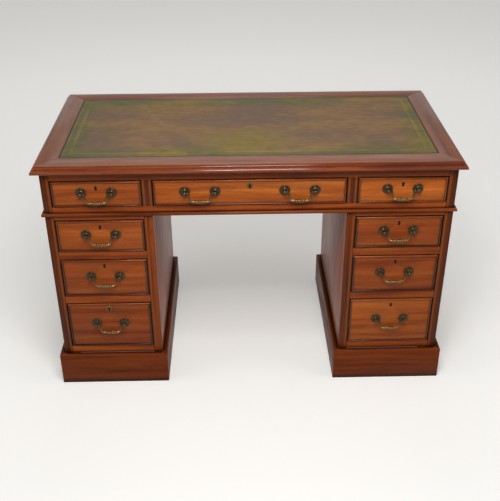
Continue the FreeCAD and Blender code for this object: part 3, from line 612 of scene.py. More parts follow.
def begin(name: str, add_primitive: Callable, scale: Iterable[float] = (1.0, 1.0, 1.0),
          **settings) -> Piece:
    """Add a primitive with nothing else selected, and put its place, turn and scale into its shape.

    Args:
        name: Name of the new object.
        add_primitive: Blender's operator that adds it.
        scale: Scale along each axis.
        settings: The operator's settings.

    Returns:
        The new object, at the origin.
    """
    bpy.ops.object.select_all(action="DESELECT")
    add_primitive(**settings)
    piece = bpy.context.object
    piece.name = name
    piece.scale = scale
    bpy.ops.object.transform_apply(location=True, rotation=True, scale=True)
    return piece


@contextmanager
def editing(piece: Piece, members: str = "", chosen: Callable[..., bool] | None = None) -> Iterator[None]:
    """Hold a piece open in edit mode, with all of it selected at first or only some members of its mesh.

    Args:
        piece: Mesh object.
        members: What is chosen among: vertices, edges or polygons.
        chosen: Tells whether a member is selected, or None to select everything.

    Yields:
        Nothing.
    """
    choose(piece)
    bpy.ops.object.mode_set(mode="EDIT")
    bpy.ops.mesh.select_all(action="DESELECT" if chosen else "SELECT")
    if chosen:
        bpy.ops.object.mode_set(mode="OBJECT")
        for member in getattr(piece.data, members):
            member.select = chosen(member)
        bpy.ops.object.mode_set(mode="EDIT")
    yield
    bpy.ops.object.mode_set(mode="OBJECT")


def pull(step: Vector | Triple) -> None:
    """Extrude what is selected by a step."""
    bpy.ops.mesh.extrude_region_move(TRANSFORM_OT_translate={"value": step})


def face_outwards() -> None:
    """Turn every face of the piece in edit mode outwards."""
    bpy.ops.mesh.select_all(action="SELECT")
    bpy.ops.mesh.normals_make_consistent(inside=False)


def modify(piece: Piece, kind: str, **settings) -> None:
    """Add a modifier and apply it.

    Args:
        piece: Mesh object.
        kind: Blender's name for the modifier's type.
        settings: The modifier's properties.
    """
    choose(piece)
    modifier = piece.modifiers.new(kind.lower(), kind)
    for name, value in settings.items():
        setattr(modifier, name, value)
    bpy.ops.object.modifier_apply(modifier=modifier.name)


def ease(piece: Piece, width_mm: float, degrees: float = 35.0, **settings) -> None:
    """Round the edges of a piece that are sharper than an angle, in two steps."""
    modify(piece, "BEVEL", width=width_mm * MM, segments=2, limit_method="ANGLE",
           angle_limit=math.radians(degrees), **settings)


def cut(piece: Piece, cutter: Piece) -> None:
    """Cut a second piece's shape out of the first, and remove the second."""
    modify(piece, "BOOLEAN", operation="DIFFERENCE", object=cutter, solver="EXACT")
    bpy.data.objects.remove(cutter)


def smooth(piece: Piece, degrees: float = 32.0) -> None:
    """Shade a piece smooth across edges flatter than an angle."""
    choose(piece)
    bpy.ops.object.shade_smooth_by_angle(angle=math.radians(degrees))


def join(name: str, pieces: list[Piece]) -> Piece:
    """Join pieces into one.

    Args:
        name: Name of the whole.
        pieces: Its pieces.

    Returns:
        The whole.
    """
    choose(pieces[0])
    for piece in pieces[1:]:
        piece.select_set(True)
    bpy.ops.object.join()
    pieces[0].name = name
    return pieces[0]


def paint_attribute(piece: Piece, name: str, kind: str, values: np.ndarray) -> None:
    """Write a named attribute of a mesh's points.

    Args:
        piece: Mesh object.
        name: Name of the attribute.
        kind: FLOAT or FLOAT_VECTOR.
        values: One value or vector for each point.
    """
    attribute = piece.data.attributes.new(name, kind, "POINT")
    member = "vector" if kind == "FLOAT_VECTOR" else "value"
    attribute.data.foreach_set(member, np.asarray(values, np.float32).ravel())


def rub_evenly(piece: Piece, rub: float) -> None:
    """Give a whole brass piece one amount of rubbing.

    Args:
        piece: Mesh object.
        rub: Amount, from 0 to 1.
    """
    if "rub" in piece.data.attributes:
        piece.data.attributes.remove(piece.data.attributes["rub"])
    paint_attribute(piece, "rub", "FLOAT", np.full(len(piece.data.vertices), rub))


def points_of(piece: Piece) -> np.ndarray:
    """Read the places of a mesh's points.

    Args:
        piece: Mesh object.

    Returns:
        A row of three numbers for each point.
    """
    places = np.empty(3 * len(piece.data.vertices), np.float32)
    piece.data.vertices.foreach_get("co", places)
    return places.reshape(-1, 3)


def dress(piece: Piece, finish: Finish, body: str, *nodes: str) -> None:
    """Give a piece its finish and its body, and let it stand for its CAD nodes.

    Args:
        piece: Finished mesh object.
        finish: Finish that covers it.
        body: CAD body that it moves with.
        nodes: CAD nodes that it replaces.
    """
    piece.data.materials.clear()
    piece.data.materials.append(finish.material())
    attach(piece, body)
    if nodes:
        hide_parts(*nodes)
    LOG.info("%s rides on %s: %d points", piece.name, body, len(piece.data.vertices))


@dataclass
class Board:
    """One closed solid of a CAD node, with its shared points merged.

    It may be painted lighter or darker, as light and shade, and its left and right sides may be open to
    drawers.
    """

    points: np.ndarray
    faces: list[tuple[int, int, int]]
    lighter: float = 0.0
    opens: tuple[bool, bool] = (False, False)
    log_size: float = 9.0

    @property
    def low(self) -> np.ndarray:
        """Lowest corner of the board's box."""
        return self.points.min(axis=0)

    @property
    def high(self) -> np.ndarray:
        """Highest corner of the board's box."""
        return self.points.max(axis=0)

    @property
    def size(self) -> np.ndarray:
        """Sizes of the board's box."""
        return self.high - self.low

    @property
    def middle(self) -> np.ndarray:
        """Middle of the board's box."""
        return (self.high + self.low) / 2

    def grain(self, chance: random.Random) -> np.ndarray:
        """Lay grain coordinates along the board, which is cut from its own place in the log.

        Args:
            chance: Source of that place.

        Returns:
            Coordinates along, across and through the board for each point.
        """
        order = np.argsort(-self.size, kind="stable")
        offset = [chance.uniform(-self.log_size, self.log_size) for _ in range(3)]
        return (self.points - self.middle)[:, order] + np.array(offset)

    def nearness(self, reach: float) -> np.ndarray:
        """Tell how near each point is to a side that is open to a drawer.

        Args:
            reach: Distance at which a point stops being near.

        Returns:
            Each point's nearness to the left side and to the right, 1 on it and 0 at the reach, and a zero.
        """
        gaps = (self.points[:, 0] - self.low[0], self.high[0] - self.points[:, 0])
        columns = [1 - gap / reach if opens else np.zeros(len(gap)) for gap, opens in zip(gaps, self.opens)]
        return np.column_stack([*columns, np.zeros(len(self.points))])


def boards_of(node: Piece) -> list[Board]:
    """Split a CAD node's loose triangles into its closed solids.

    The triangles of a solid follow each other, so a solid is complete where every edge so far has met its
    opposite.

    Args:
        node: Object of the CAD node.

    Returns:
        The solids, in the node's order.
    """
    mesh = node.data
    mesh.calc_loop_triangles()
    places = points_of(node)
    keys = [tuple(key) for key in np.round(places / NEAR).astype(int)]
    boards = []
    ranks, points, faces, unmet = {}, [], [], Counter()
    for triangle in mesh.loop_triangles:
        corners = []
        for index in triangle.vertices:
            if keys[index] not in ranks:
                ranks[keys[index]] = len(points)
                points.append(places[index])
            corners.append(ranks[keys[index]])
        faces.append(tuple(corners))
        for start, end in pairwise(corners + corners[:1]):
            if unmet[end, start]:
                unmet[end, start] -= 1
            else:
                unmet[start, end] += 1
        if not any(unmet.values()):
            boards.append(Board(np.array(points), faces))
            ranks, points, faces, unmet = {}, [], [], Counter()
    return boards


@dataclass
class Woodwork:
    """Wooden pieces copied board by board from CAD nodes, with their sharp edges eased.

    The shades say how much darker the boards are that run along X, Y and Z. Tones go from 0 for dark to 1
    for light.
    """

    nodes: Nodes
    body: str
    shades: Triple = (0.0, 0.0, 0.0)
    flat_angle: float = math.radians(0.5)
    frame_arris_mm: float = 0.3
    frame_end_mm: float = 1.0
    handled_mm: float = 11.0
    strip_mm: float = 15.0
    shrunk_mm: float = 1.8
    nose_mm: float = 0.7
    worn_lift: float = 0.8
    tone_spread: float = 0.06

    def copy(self, node: str, timber: Timber, arris_mm: float, tone: float = 0.5,
             boards: list[Board] | None = None) -> None:
        """Copy a CAD node, ease its edges and lay grain along each board.

        Args:
            node: Name of the CAD node.
            timber: Finish of its boards.
            arris_mm: Width of the eased edges.
            tone: Tone about which the boards vary.
            boards: Boards of the node that are copied, or None for all.
        """
        piece = self.assemble(node + "_wood", boards or boards_of(self.nodes[node]), arris_mm, tone)
        dress(piece, timber, self.body, node)

    def copy_frame(self, node: str, tone: float, inner_painted_light: float = 0.0, top_rail_painted_light: float = 0.0) -> None:
        """Copy a front frame, whose uprights beside the drawers get a painted gap shadow and a lighter
        strip.

        Args:
            node: Name of the CAD node.
            tone: Tone about which the boards vary.
            inner_painted_light: How much light is painted onto the upright nearest to the kneehole.
            top_rail_painted_light: How much lighter the top rail is painted; below zero it is painted
                shade.
        """
        low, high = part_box(node)
        left, right = low.x + self.frame_end_mm * MM, high.x - self.frame_end_mm * MM
        boards = boards_of(self.nodes[node])
        uprights = [board for board in boards if np.argmax(board.size) == 2]
        for board in uprights:
            board.opens = (board.low[0] > left, board.high[0] < right)
        # Painted light on the upright nearest to the kneehole
        min(uprights, key=lambda board: abs(board.middle[0])).lighter = inner_painted_light
        # Painted light or shade on the top rail
        max(boards, key=lambda board: board.middle[2]).lighter = top_rail_painted_light
        self.copy(node, FRAME_MAHOGANY, self.frame_arris_mm, tone, boards)

    def copy_beaded(self, node: str, arris_mm: float, tone: float) -> None:
        """Copy a drawer's front, whose slim strips are a bead with a finish of its own.

        The old timber has shrunk, so the bead stands a little inside its CAD place, which opens the dark
        gap round it. Its top strip is painted lighter than the rest, as a highlight where the light from
        above falls.

        Args:
            node: Name of the CAD node.
            arris_mm: Width of the eased edges.
            tone: Tone about which the boards vary.
        """
        boards, strips = [], []
        for board in boards_of(self.nodes[node]):
            slim = sorted(board.size)[1] < self.strip_mm * MM
            (strips if slim else boards).append(board)
        low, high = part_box(node)
        middle, half = np.array((low + high) / 2), np.array((high - low) / 2)
        shrink = 1 - np.array((self.shrunk_mm, 0.0, self.shrunk_mm)) * MM / half
        for strip in strips:
            strip.points = middle + (strip.points - middle) * shrink
        # Painted highlight on the top strip
        max(strips, key=lambda strip: strip.middle[2]).lighter = self.worn_lift
        self.copy(node, FRONT_MAHOGANY, arris_mm, tone, boards)
        dress(self.assemble(node + "_bead", strips, self.nose_mm, tone), BEAD_MAHOGANY, self.body)

    def assemble(self, name: str, boards: list[Board], arris_mm: float, tone: float = 0.5) -> Piece:
        """Make one mesh of boards, with eased edges, grain and tone.

        Args:
            name: Name of the new object.
            boards: Boards of the mesh.
            arris_mm: Width of the eased edges.
            tone: Tone about which the boards vary.

        Returns:
            The new object.
        """
        chance = random.Random(zlib.crc32(name.encode()))
        points, faces, grain, tones, openings = [], [], [], [], []
        for board in boards:
            first = len(points)
            points += [tuple(point) for point in board.points]
            faces += [tuple(first + corner for corner in face) for face in board.faces]
            grain.append(board.grain(chance))
            openings.append(board.nearness(self.handled_mm * MM))
            shade = self.shades[int(np.argmax(board.size))]
            stray = chance.uniform(-self.tone_spread, self.tone_spread)
            tones += [tone - shade + board.lighter + stray] * len(board.points)
        mesh = bpy.data.meshes.new(name)
        mesh.from_pydata(points, [], faces)
        piece = bpy.data.objects.new(name, mesh)
        bpy.context.scene.collection.objects.link(piece)
        paint_attribute(piece, "grain", "FLOAT_VECTOR", np.vstack(grain))
        paint_attribute(piece, "tone", "FLOAT", np.array(tones))
        paint_attribute(piece, "opening", "FLOAT_VECTOR", np.vstack(openings))
        with editing(piece):
            bpy.ops.mesh.dissolve_limited(angle_limit=self.flat_angle)
        ease(piece, arris_mm, miter_outer="MITER_ARC", loop_slide=False)
        smooth(piece)
        return piece


@dataclass
class WritingTop:
    """Border with its moulded edge, core panel and the leather let into them.

    The border's sections are run round the top here, because the edge has a finer moulding than the CAD
    model's. Their corners go inwards from the top's outer edge and up from its underside, in mm.
    """

    nodes: Nodes
    rail_section: Rows = ((13.0, 0.0), (13.0, 22.0), (70.0, 22.0), (70.0, 0.0))
    edge_section: Rows = (
        (13.0, 0.0), (2.5, 0.0), (0.9, 0.8), (0.15, 2.0), (0.0, 3.4), (0.35, 5.6), (1.1, 7.6), (2.4, 9.8),
        (4.2, 11.6), (6.6, 12.8), (8.8, 13.2), (8.9, 14.6), (9.4, 16.4), (10.3, 18.0), (11.6, 19.2),
        (13.0, 19.8),
    )
    cell_mm: float = 12.0
    rolled_mm: float = 0.7
    sunk_mm: float = 0.1
    waviness_mm: float = 0.16
    wave_mm: float = 70.0

    def build(self) -> None:
        """Build and dress the top."""
        # The side rails, which run along Y, are painted darker, as shade where the light falls off towards
        # the ends
        wood = Woodwork(self.nodes, ROOT_BODY, shades=(0.0, 0.25, 0.0))
        rails = wood.assemble("top_border_wood", self.run_round(self.rail_section), arris_mm=0.3)
        dress(rails, TOP_MAHOGANY, ROOT_BODY, "top_border")
        edge = wood.assemble("top_border_moulding", self.run_round(self.edge_section), arris_mm=0.2)
        dress(edge, EDGE_MAHOGANY, ROOT_BODY)
        wood.copy("top_board", SECONDARY_TIMBER, arris_mm=0.4)
        self.lay_leather()

    def run_round(self, section: Rows) -> list[Board]:
        """Run a section round the top from corner to corner, and cut it into four rails at the mitres.

        Args:
            section: Corners of the closed section.

        Returns:
            The rails.
        """
        low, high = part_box("top_border")
        middle, half = (low + high) / 2, (high - low) / 2
        loops = [(half.x - inwards * MM, half.y - inwards * MM, low.z + up * MM) for inwards, up in section]
        width, depth, level = loops[0]
        ring = begin("rail_run", bpy.ops.mesh.primitive_plane_add, scale=(width, depth, 1), size=2,
                     location=(middle.x, middle.y, level))
        with editing(ring):
            bpy.ops.mesh.delete(type="ONLY_FACE")
            bpy.ops.mesh.select_all(action="SELECT")
            for before, after in pairwise([*loops, loops[0]]):
                pull((0, 0, after[2] - before[2]))
                growth = (after[0] / before[0], after[1] / before[1], 1)
                bpy.ops.transform.resize(value=growth, center_override=middle)
            bpy.ops.mesh.select_all(action="SELECT")
            bpy.ops.mesh.remove_doubles(threshold=10 * NEAR)
            face_outwards()
            bpy.ops.mesh.select_mode(type="EDGE")
        signs = np.sign(points_of(ring)[:, :2])
        with editing(ring, "edges", lambda line: np.array_equal(*signs[list(line.vertices)])):
            bpy.ops.mesh.edge_split(type="EDGE")
            bpy.ops.mesh.select_all(action="SELECT")
            bpy.ops.mesh.fill_holes(sides=0)
            face_outwards()
            bpy.ops.mesh.select_mode(type="VERT")
            bpy.ops.mesh.separate(type="LOOSE")
        rails = list(bpy.context.selected_objects)
        boards = [board for rail in rails for board in boards_of(rail)]
        for rail in rails:
            bpy.data.objects.remove(rail)
        return boards

    def lay_leather(self) -> None:
        """Model the leather as a fine sheet with rolled edges and the slight waves of an old hide."""
        low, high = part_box("writing_leather")
        size, middle = high - low, (low + high) / 2
        level = high.z - self.sunk_mm * MM
        columns, rows = round(size.x / (self.cell_mm * MM)), round(size.y / (self.cell_mm * MM))
        sheet = begin("writing_leather_skin", bpy.ops.mesh.primitive_grid_add, scale=(size.x, size.y, 1),
                      x_subdivisions=columns, y_subdivisions=rows, size=1,
                      location=(middle.x, middle.y, level))
        with editing(sheet):
            bpy.ops.mesh.region_to_loop()
            pull((0, 0, low.z - level))
            bpy.ops.mesh.edge_face_add()
            face_outwards()
        ease(sheet, self.rolled_mm)
        for point in sheet.data.vertices:
            if point.co.z > level - NEAR:
                wave = noise.noise(point.co / (self.wave_mm * MM))
                point.co.z -= self.waviness_mm * MM * (0.5 + 0.5 * wave)
        smooth(sheet, 50)
        dress(sheet, LEATHER, ROOT_BODY, "writing_leather")


@dataclass
class Frieze:
    """Case of the three upper drawers, under the top."""

    nodes: Nodes
    tone: float = 0.685
    moulding_tone: float = 0.2

    def build(self) -> None:
        """Build and dress the frieze's woodwork."""
        wood = Woodwork(self.nodes, ROOT_BODY, shades=(0.0, 0.3, 0.7))
        wood.copy("frieze_ends", CARCASS_MAHOGANY, arris_mm=0.4)
        wood.copy("frieze_back", CARCASS_MAHOGANY, arris_mm=0.4)
        # The top rail is painted darker, as the shadow of the top's overhang
        wood.copy_frame("frieze_front_frame", self.tone, top_rail_painted_light=-0.25)
        wood.copy("frieze_moulding", CARCASS_MAHOGANY, arris_mm=0.3, tone=self.moulding_tone)
        wood.copy("frieze_runners", SECONDARY_TIMBER, arris_mm=0.6)
        wood.copy("locating_pegs", SECONDARY_TIMBER, arris_mm=0.5)


@dataclass
class Pedestal:
    """Case of three drawers on its plinth."""

    nodes: Nodes
    side: Side
    tone: float
    # Tone of the kneehole sides, raised as a painted reflection of the pale floor
    knee_tone: float = 1.3

    def build(self) -> None:
        """Build and dress the pedestal's woodwork."""
        wood = Woodwork(self.nodes, ROOT_BODY, shades=(0.0, 0.0, 0.6))
        frame = Woodwork(self.nodes, ROOT_BODY, shades=(0.0, 0.0, 0.7))
        # The plinth's side boards, which run along Y, are painted darker, as shade
        plinth = Woodwork(self.nodes, ROOT_BODY, shades=(0.0, 0.5, 0.0))
        word = self.side.word
        wood.copy(f"{word}_outer_side", CARCASS_MAHOGANY, arris_mm=0.5)
        # The kneehole sides are painted lighter, as the sheen of the pale floor that they reflect
        wood.copy(f"{word}_inner_side", KNEE_MAHOGANY, arris_mm=0.5, tone=self.knee_tone)
        wood.copy(f"{word}_pedestal_back", CARCASS_MAHOGANY, arris_mm=0.5)
        # The upright nearest to the kneehole gets painted light
        frame.copy_frame(f"{word}_front_frame", self.tone, inner_painted_light=0.24)
        plinth.copy(f"{word}_plinth", PLINTH_MAHOGANY, arris_mm=1.2)
        wood.copy(f"{word}_runners", SECONDARY_TIMBER, arris_mm=0.6)
        wood.copy(f"{word}_pedestal_boards", SECONDARY_TIMBER, arris_mm=0.5)


@dataclass(frozen=True)
class Ring:
    """One ring of a turned piece: its radius and place along the axis, in mm, and how rubbed it is."""

    radius: float
    out: float
    rub: float = 0.25


def turn_on_lathe(name: str, profile: Iterable[tuple[float, ...]], axis: Axis = Axis.OUTWARDS,
                  segments: int = 32) -> Piece:
    """Turn a closed piece by extruding a circle from ring to ring.

    Args:
        name: Name of the new object.
        profile: The rings' numbers, in order along the axis.
        axis: Axis of the piece, through the origin.
        segments: Number of points round the piece.

    Returns:
        The new object, at the origin.
    """
    rings = [Ring(*row) for row in profile]
    piece = begin(name, bpy.ops.mesh.primitive_circle_add, vertices=segments, radius=rings[0].radius * MM,
                  fill_type="NOTHING", location=axis.direction * rings[0].out * MM, rotation=axis.turn)
    with editing(piece):
        for before, ring in pairwise(rings):
            pull(axis.direction * (ring.out - before.out) * MM)
            growth = (ring.radius / before.radius,) * 3
            bpy.ops.transform.resize(value=growth, center_override=axis.direction * ring.out * MM)
        bpy.ops.mesh.edge_face_add()
    with editing(piece, "vertices", lambda point: point.index < segments):
        bpy.ops.mesh.edge_face_add()
        face_outwards()
    paint_attribute(piece, "rub", "FLOAT", np.repeat([ring.rub for ring in rings], segments))
    smooth(piece, 50)
    return piece


@dataclass
class Fitting:
    """Brass fitting whose patterns are modelled once, about one point, and copied to each drawer."""

    patterns: dict[str, Piece] = field(default_factory=dict, init=False)

    def stand(self, name: str, place: Vector) -> Piece:
        """Copy a pattern to a place, with a mesh of its own and its object at the origin.

        Args:
            name: Name of the pattern.
            place: Where its middle comes.

        Returns:
            The copy.
        """
        mesh = self.patterns[name].data.copy()
        mesh.transform(Matrix.Translation(place))
        copy = bpy.data.objects.new(name + "_copy", mesh)
        bpy.context.scene.collection.objects.link(copy)
        return copy

    def clear(self) -> None:
        """Remove the patterns once every copy stands."""
        for pattern in self.patterns.values():
            bpy.data.objects.remove(pattern)


@dataclass
class SwanNeckHandle(Fitting):
    """Swan-neck handle, with sizes in mm.

    Posts and rosettes stand out from the drawer's face along -Y; the bail hangs from the middle of its
    pivot line. A profile's rows are rings, a step of a bead has its place in the pitch and its share of the
    groove, and the neck's rows are points of its line with their swelling.
    """

    spacing: float = 87.0
    pivot_out: float = 13.0
    ball_radius: float = 6.2
    ball_degrees: Iterable[int] = range(-55, 90, 12)
    ball_rub: tuple[float, float] = (0.12, 0.32)
    wire_radius: float = 2.2
    bore_radius: float = 2.45
    bore_past: float = 1.9
    bore_spare: float = 2.0
    front_thick: float = 20.0
    drop: float = 26.0
    rosette_profile: Rows = (
        (15.0, 0.0, 0.05), (15.0, 0.9, 0.2), (14.5, 1.5, 0.35), (13.6, 1.7, 0.3), (12.8, 1.2, 0.0),
        (12.0, 1.3, 0.05), (11.2, 2.0, 0.2), (10.2, 2.5, 0.32), (9.3, 2.5, 0.25), (8.7, 1.9, 0.0),
        (8.0, 2.1, 0.0), (7.2, 3.1, 0.2), (6.3, 4.0, 0.3), (5.4, 4.4, 0.2), (3.0, 4.4, 0.0),
    )
    # The stem's stud goes through the drawer's front and ends behind the nut
    stem_profile: Rows = (
        (2.5, -24.0), (2.5, 3.9), (4.1, 4.4), (4.3, 5.0, 0.4), (3.9, 5.7), (3.3, 6.2, 0.1), (3.2, 6.9, 0.1),
    )
    # Washers and nuts are given from the back of the drawer's front
    washer_profile: Rows = ((2.6, 0.0), (5.2, -0.05), (5.2, -0.8), (2.6, -0.85))
    nut_profile: Rows = ((3.9, -0.85), (4.5, -1.2), (4.5, -3.2), (3.9, -3.5), (2.6, -3.55))
    bead_count: int = 7
    bead_pitch: float = 5.0
    bead_radius: float = 6.0
    bead_fall: float = 0.22
    bead_groove: float = 1.9
    bead_steps: Rows = ((-0.42, 1.0), (-0.22, 0.25), (0.0, 0.0), (0.22, 0.25), (0.42, 1.0))
    groove_dirt: float = 0.85
    grip_sag: float = 1.6
    grip_end_profile: Rows = (
        (2.9, 17.7, 0.4), (4.0, 18.3, 0.9), (4.3, 19.5, 0.95), (3.9, 21.5, 0.8), (3.3, 23.6, 0.65),
    )
    neck_route: Rows = (
        (45.0, 0.0, 1.0), (40.5, 0.0, 1.0), (36.6, 0.3, 1.1), (32.8, -0.4, 1.3), (31.6, -5.0, 1.4),
        (31.4, -10.0, 1.35), (29.8, -15.5, 1.3), (28.4, -22.0, 1.4), (24.8, -26.0, 1.45),
        (18.0, -26.6, 1.4),
    )

    def make_patterns(self) -> None:
        """Model the rosette, the left and right posts, the nut with its washer, and the bail."""
        self.patterns["rosette"] = turn_on_lathe("rosette_pattern", self.rosette_profile, segments=40)
        for side in Side:
            self.patterns[f"{side.word}_post"] = self.make_post(side)
        self.patterns["nut"] = self.make_nut()
        self.patterns["bail"] = self.make_bail()

    def make_post(self, side: Side) -> Piece:
        """Turn a post with its ball, and bore the ball from its inner side for the bail's pin.

        Args:
            side: Side of the handle that the post is on.

        Returns:
            The post.
        """
        rows = list(self.stem_profile)
        dull, bright = self.ball_rub
        for angle in map(math.radians, self.ball_degrees):
            radius, out = self.ball_radius * math.cos(angle), self.ball_radius * math.sin(angle)
            rows.append((radius, self.pivot_out + out, dull + (bright - dull) * max(0.0, math.sin(angle))))
        post = turn_on_lathe(f"{side.word}_post_pattern", rows)
        reach = self.ball_radius + self.bore_past + self.bore_spare
        middle = side.value * (self.bore_past - reach / 2) * MM
        bpy.ops.object.select_all(action="DESELECT")
        bpy.ops.mesh.primitive_cylinder_add(vertices=24, radius=self.bore_radius * MM, depth=reach * MM,
                                            rotation=Axis.SIDEWAYS.turn,
                                            location=(middle, -self.pivot_out * MM, 0))
        cut(post, bpy.context.object)
        smooth(post, 50)
        return post

    def make_nut(self) -> Piece:
        """Model the hexagon nut and the washer behind the drawer's front.

        Returns:
            Both in one piece.
        """
        pieces = []
        for profile, segments in ((self.nut_profile, 6), (self.washer_profile, 24)):
            rows = [(radius, out - self.front_thick) for radius, out in profile]
            pieces.append(turn_on_lathe("nut_pattern", rows, segments=segments))
        smooth(pieces[0], 20)
        whole = join("nut_pattern", pieces)
        rub_evenly(whole, 0.3)
        return whole

    def make_bail(self) -> Piece:
        """Bend the swan-neck wire as a smooth curve, and turn the beaded grip on it.

        Returns:
            The bail.
        """
        wire = begin("bail_pattern", bpy.ops.curve.primitive_nurbs_path_add)
        shape = wire.data
        shape.splines.clear()
        route = [*self.neck_route, *((-x, z, swell) for x, z, swell in reversed(self.neck_route))]
        spline = shape.splines.new("NURBS")
        spline.points.add(len(route) - 1)
        for point, (x, z, swell) in zip(spline.points, route):
            point.co = (x * MM, 0, z * MM, 1)
            point.radius = swell
        spline.order_u = 4
        spline.use_endpoint_u = True
        spline.resolution_u = 5
        shape.bevel_depth = self.wire_radius * MM
        shape.bevel_resolution = 4
        shape.use_fill_caps = True
        choose(wire)
        bpy.ops.object.convert(target="MESH")
        wire = bpy.context.object
        with editing(wire):
            bpy.ops.mesh.remove_doubles(threshold=10 * NEAR)
            face_outwards()
        hang = np.clip(-points_of(wire)[:, 2] / (self.drop * MM), 0, 1)
        paint_attribute(wire, "rub", "FLOAT", 0.25 + 0.5 * hang ** 2)
        smooth(wire, 60)
        grip = turn_on_lathe("grip_pattern", self.grip_profile(), Axis.SIDEWAYS, 28)
        half = grip.dimensions.x / 2
        for point in grip.data.vertices:
            point.co.z -= (self.drop + self.grip_sag * (1 - (point.co.x / half) ** 2)) * MM
        return join("bail_pattern", [wire, grip])

    def grip_profile(self) -> list[tuple[float, ...]]:
        """List the rings of the beaded grip.

        Returns:
            The rings' numbers from the left end to the right.
        """
        rows = [(radius, -out, rub) for radius, out, rub in reversed(self.grip_end_profile)]
        for index in range(self.bead_count):
            place = index - (self.bead_count - 1) / 2
            crest = self.bead_radius - self.bead_fall * abs(place)
            for step, fall in self.bead_steps:
                radius, out = crest - fall * self.bead_groove, (place + step) * self.bead_pitch
                rows.append((radius, out, 1.0 - self.groove_dirt * fall))
        return rows + list(self.grip_end_profile)

    def mount(self, pivot: Vector) -> list[Piece]:
        """Stand the posts, rosettes and nuts of one handle on a drawer's front.

        Args:
            pivot: Middle of the bail's pivot line.

        Returns:
            The new pieces.
        """
        pieces = []
        for side in Side:
            foot = pivot + Vector((side.value * self.spacing / 2, self.pivot_out, 0)) * MM
            pieces += [self.stand(name, foot) for name in ("rosette", f"{side.word}_post", "nut")]
        return pieces


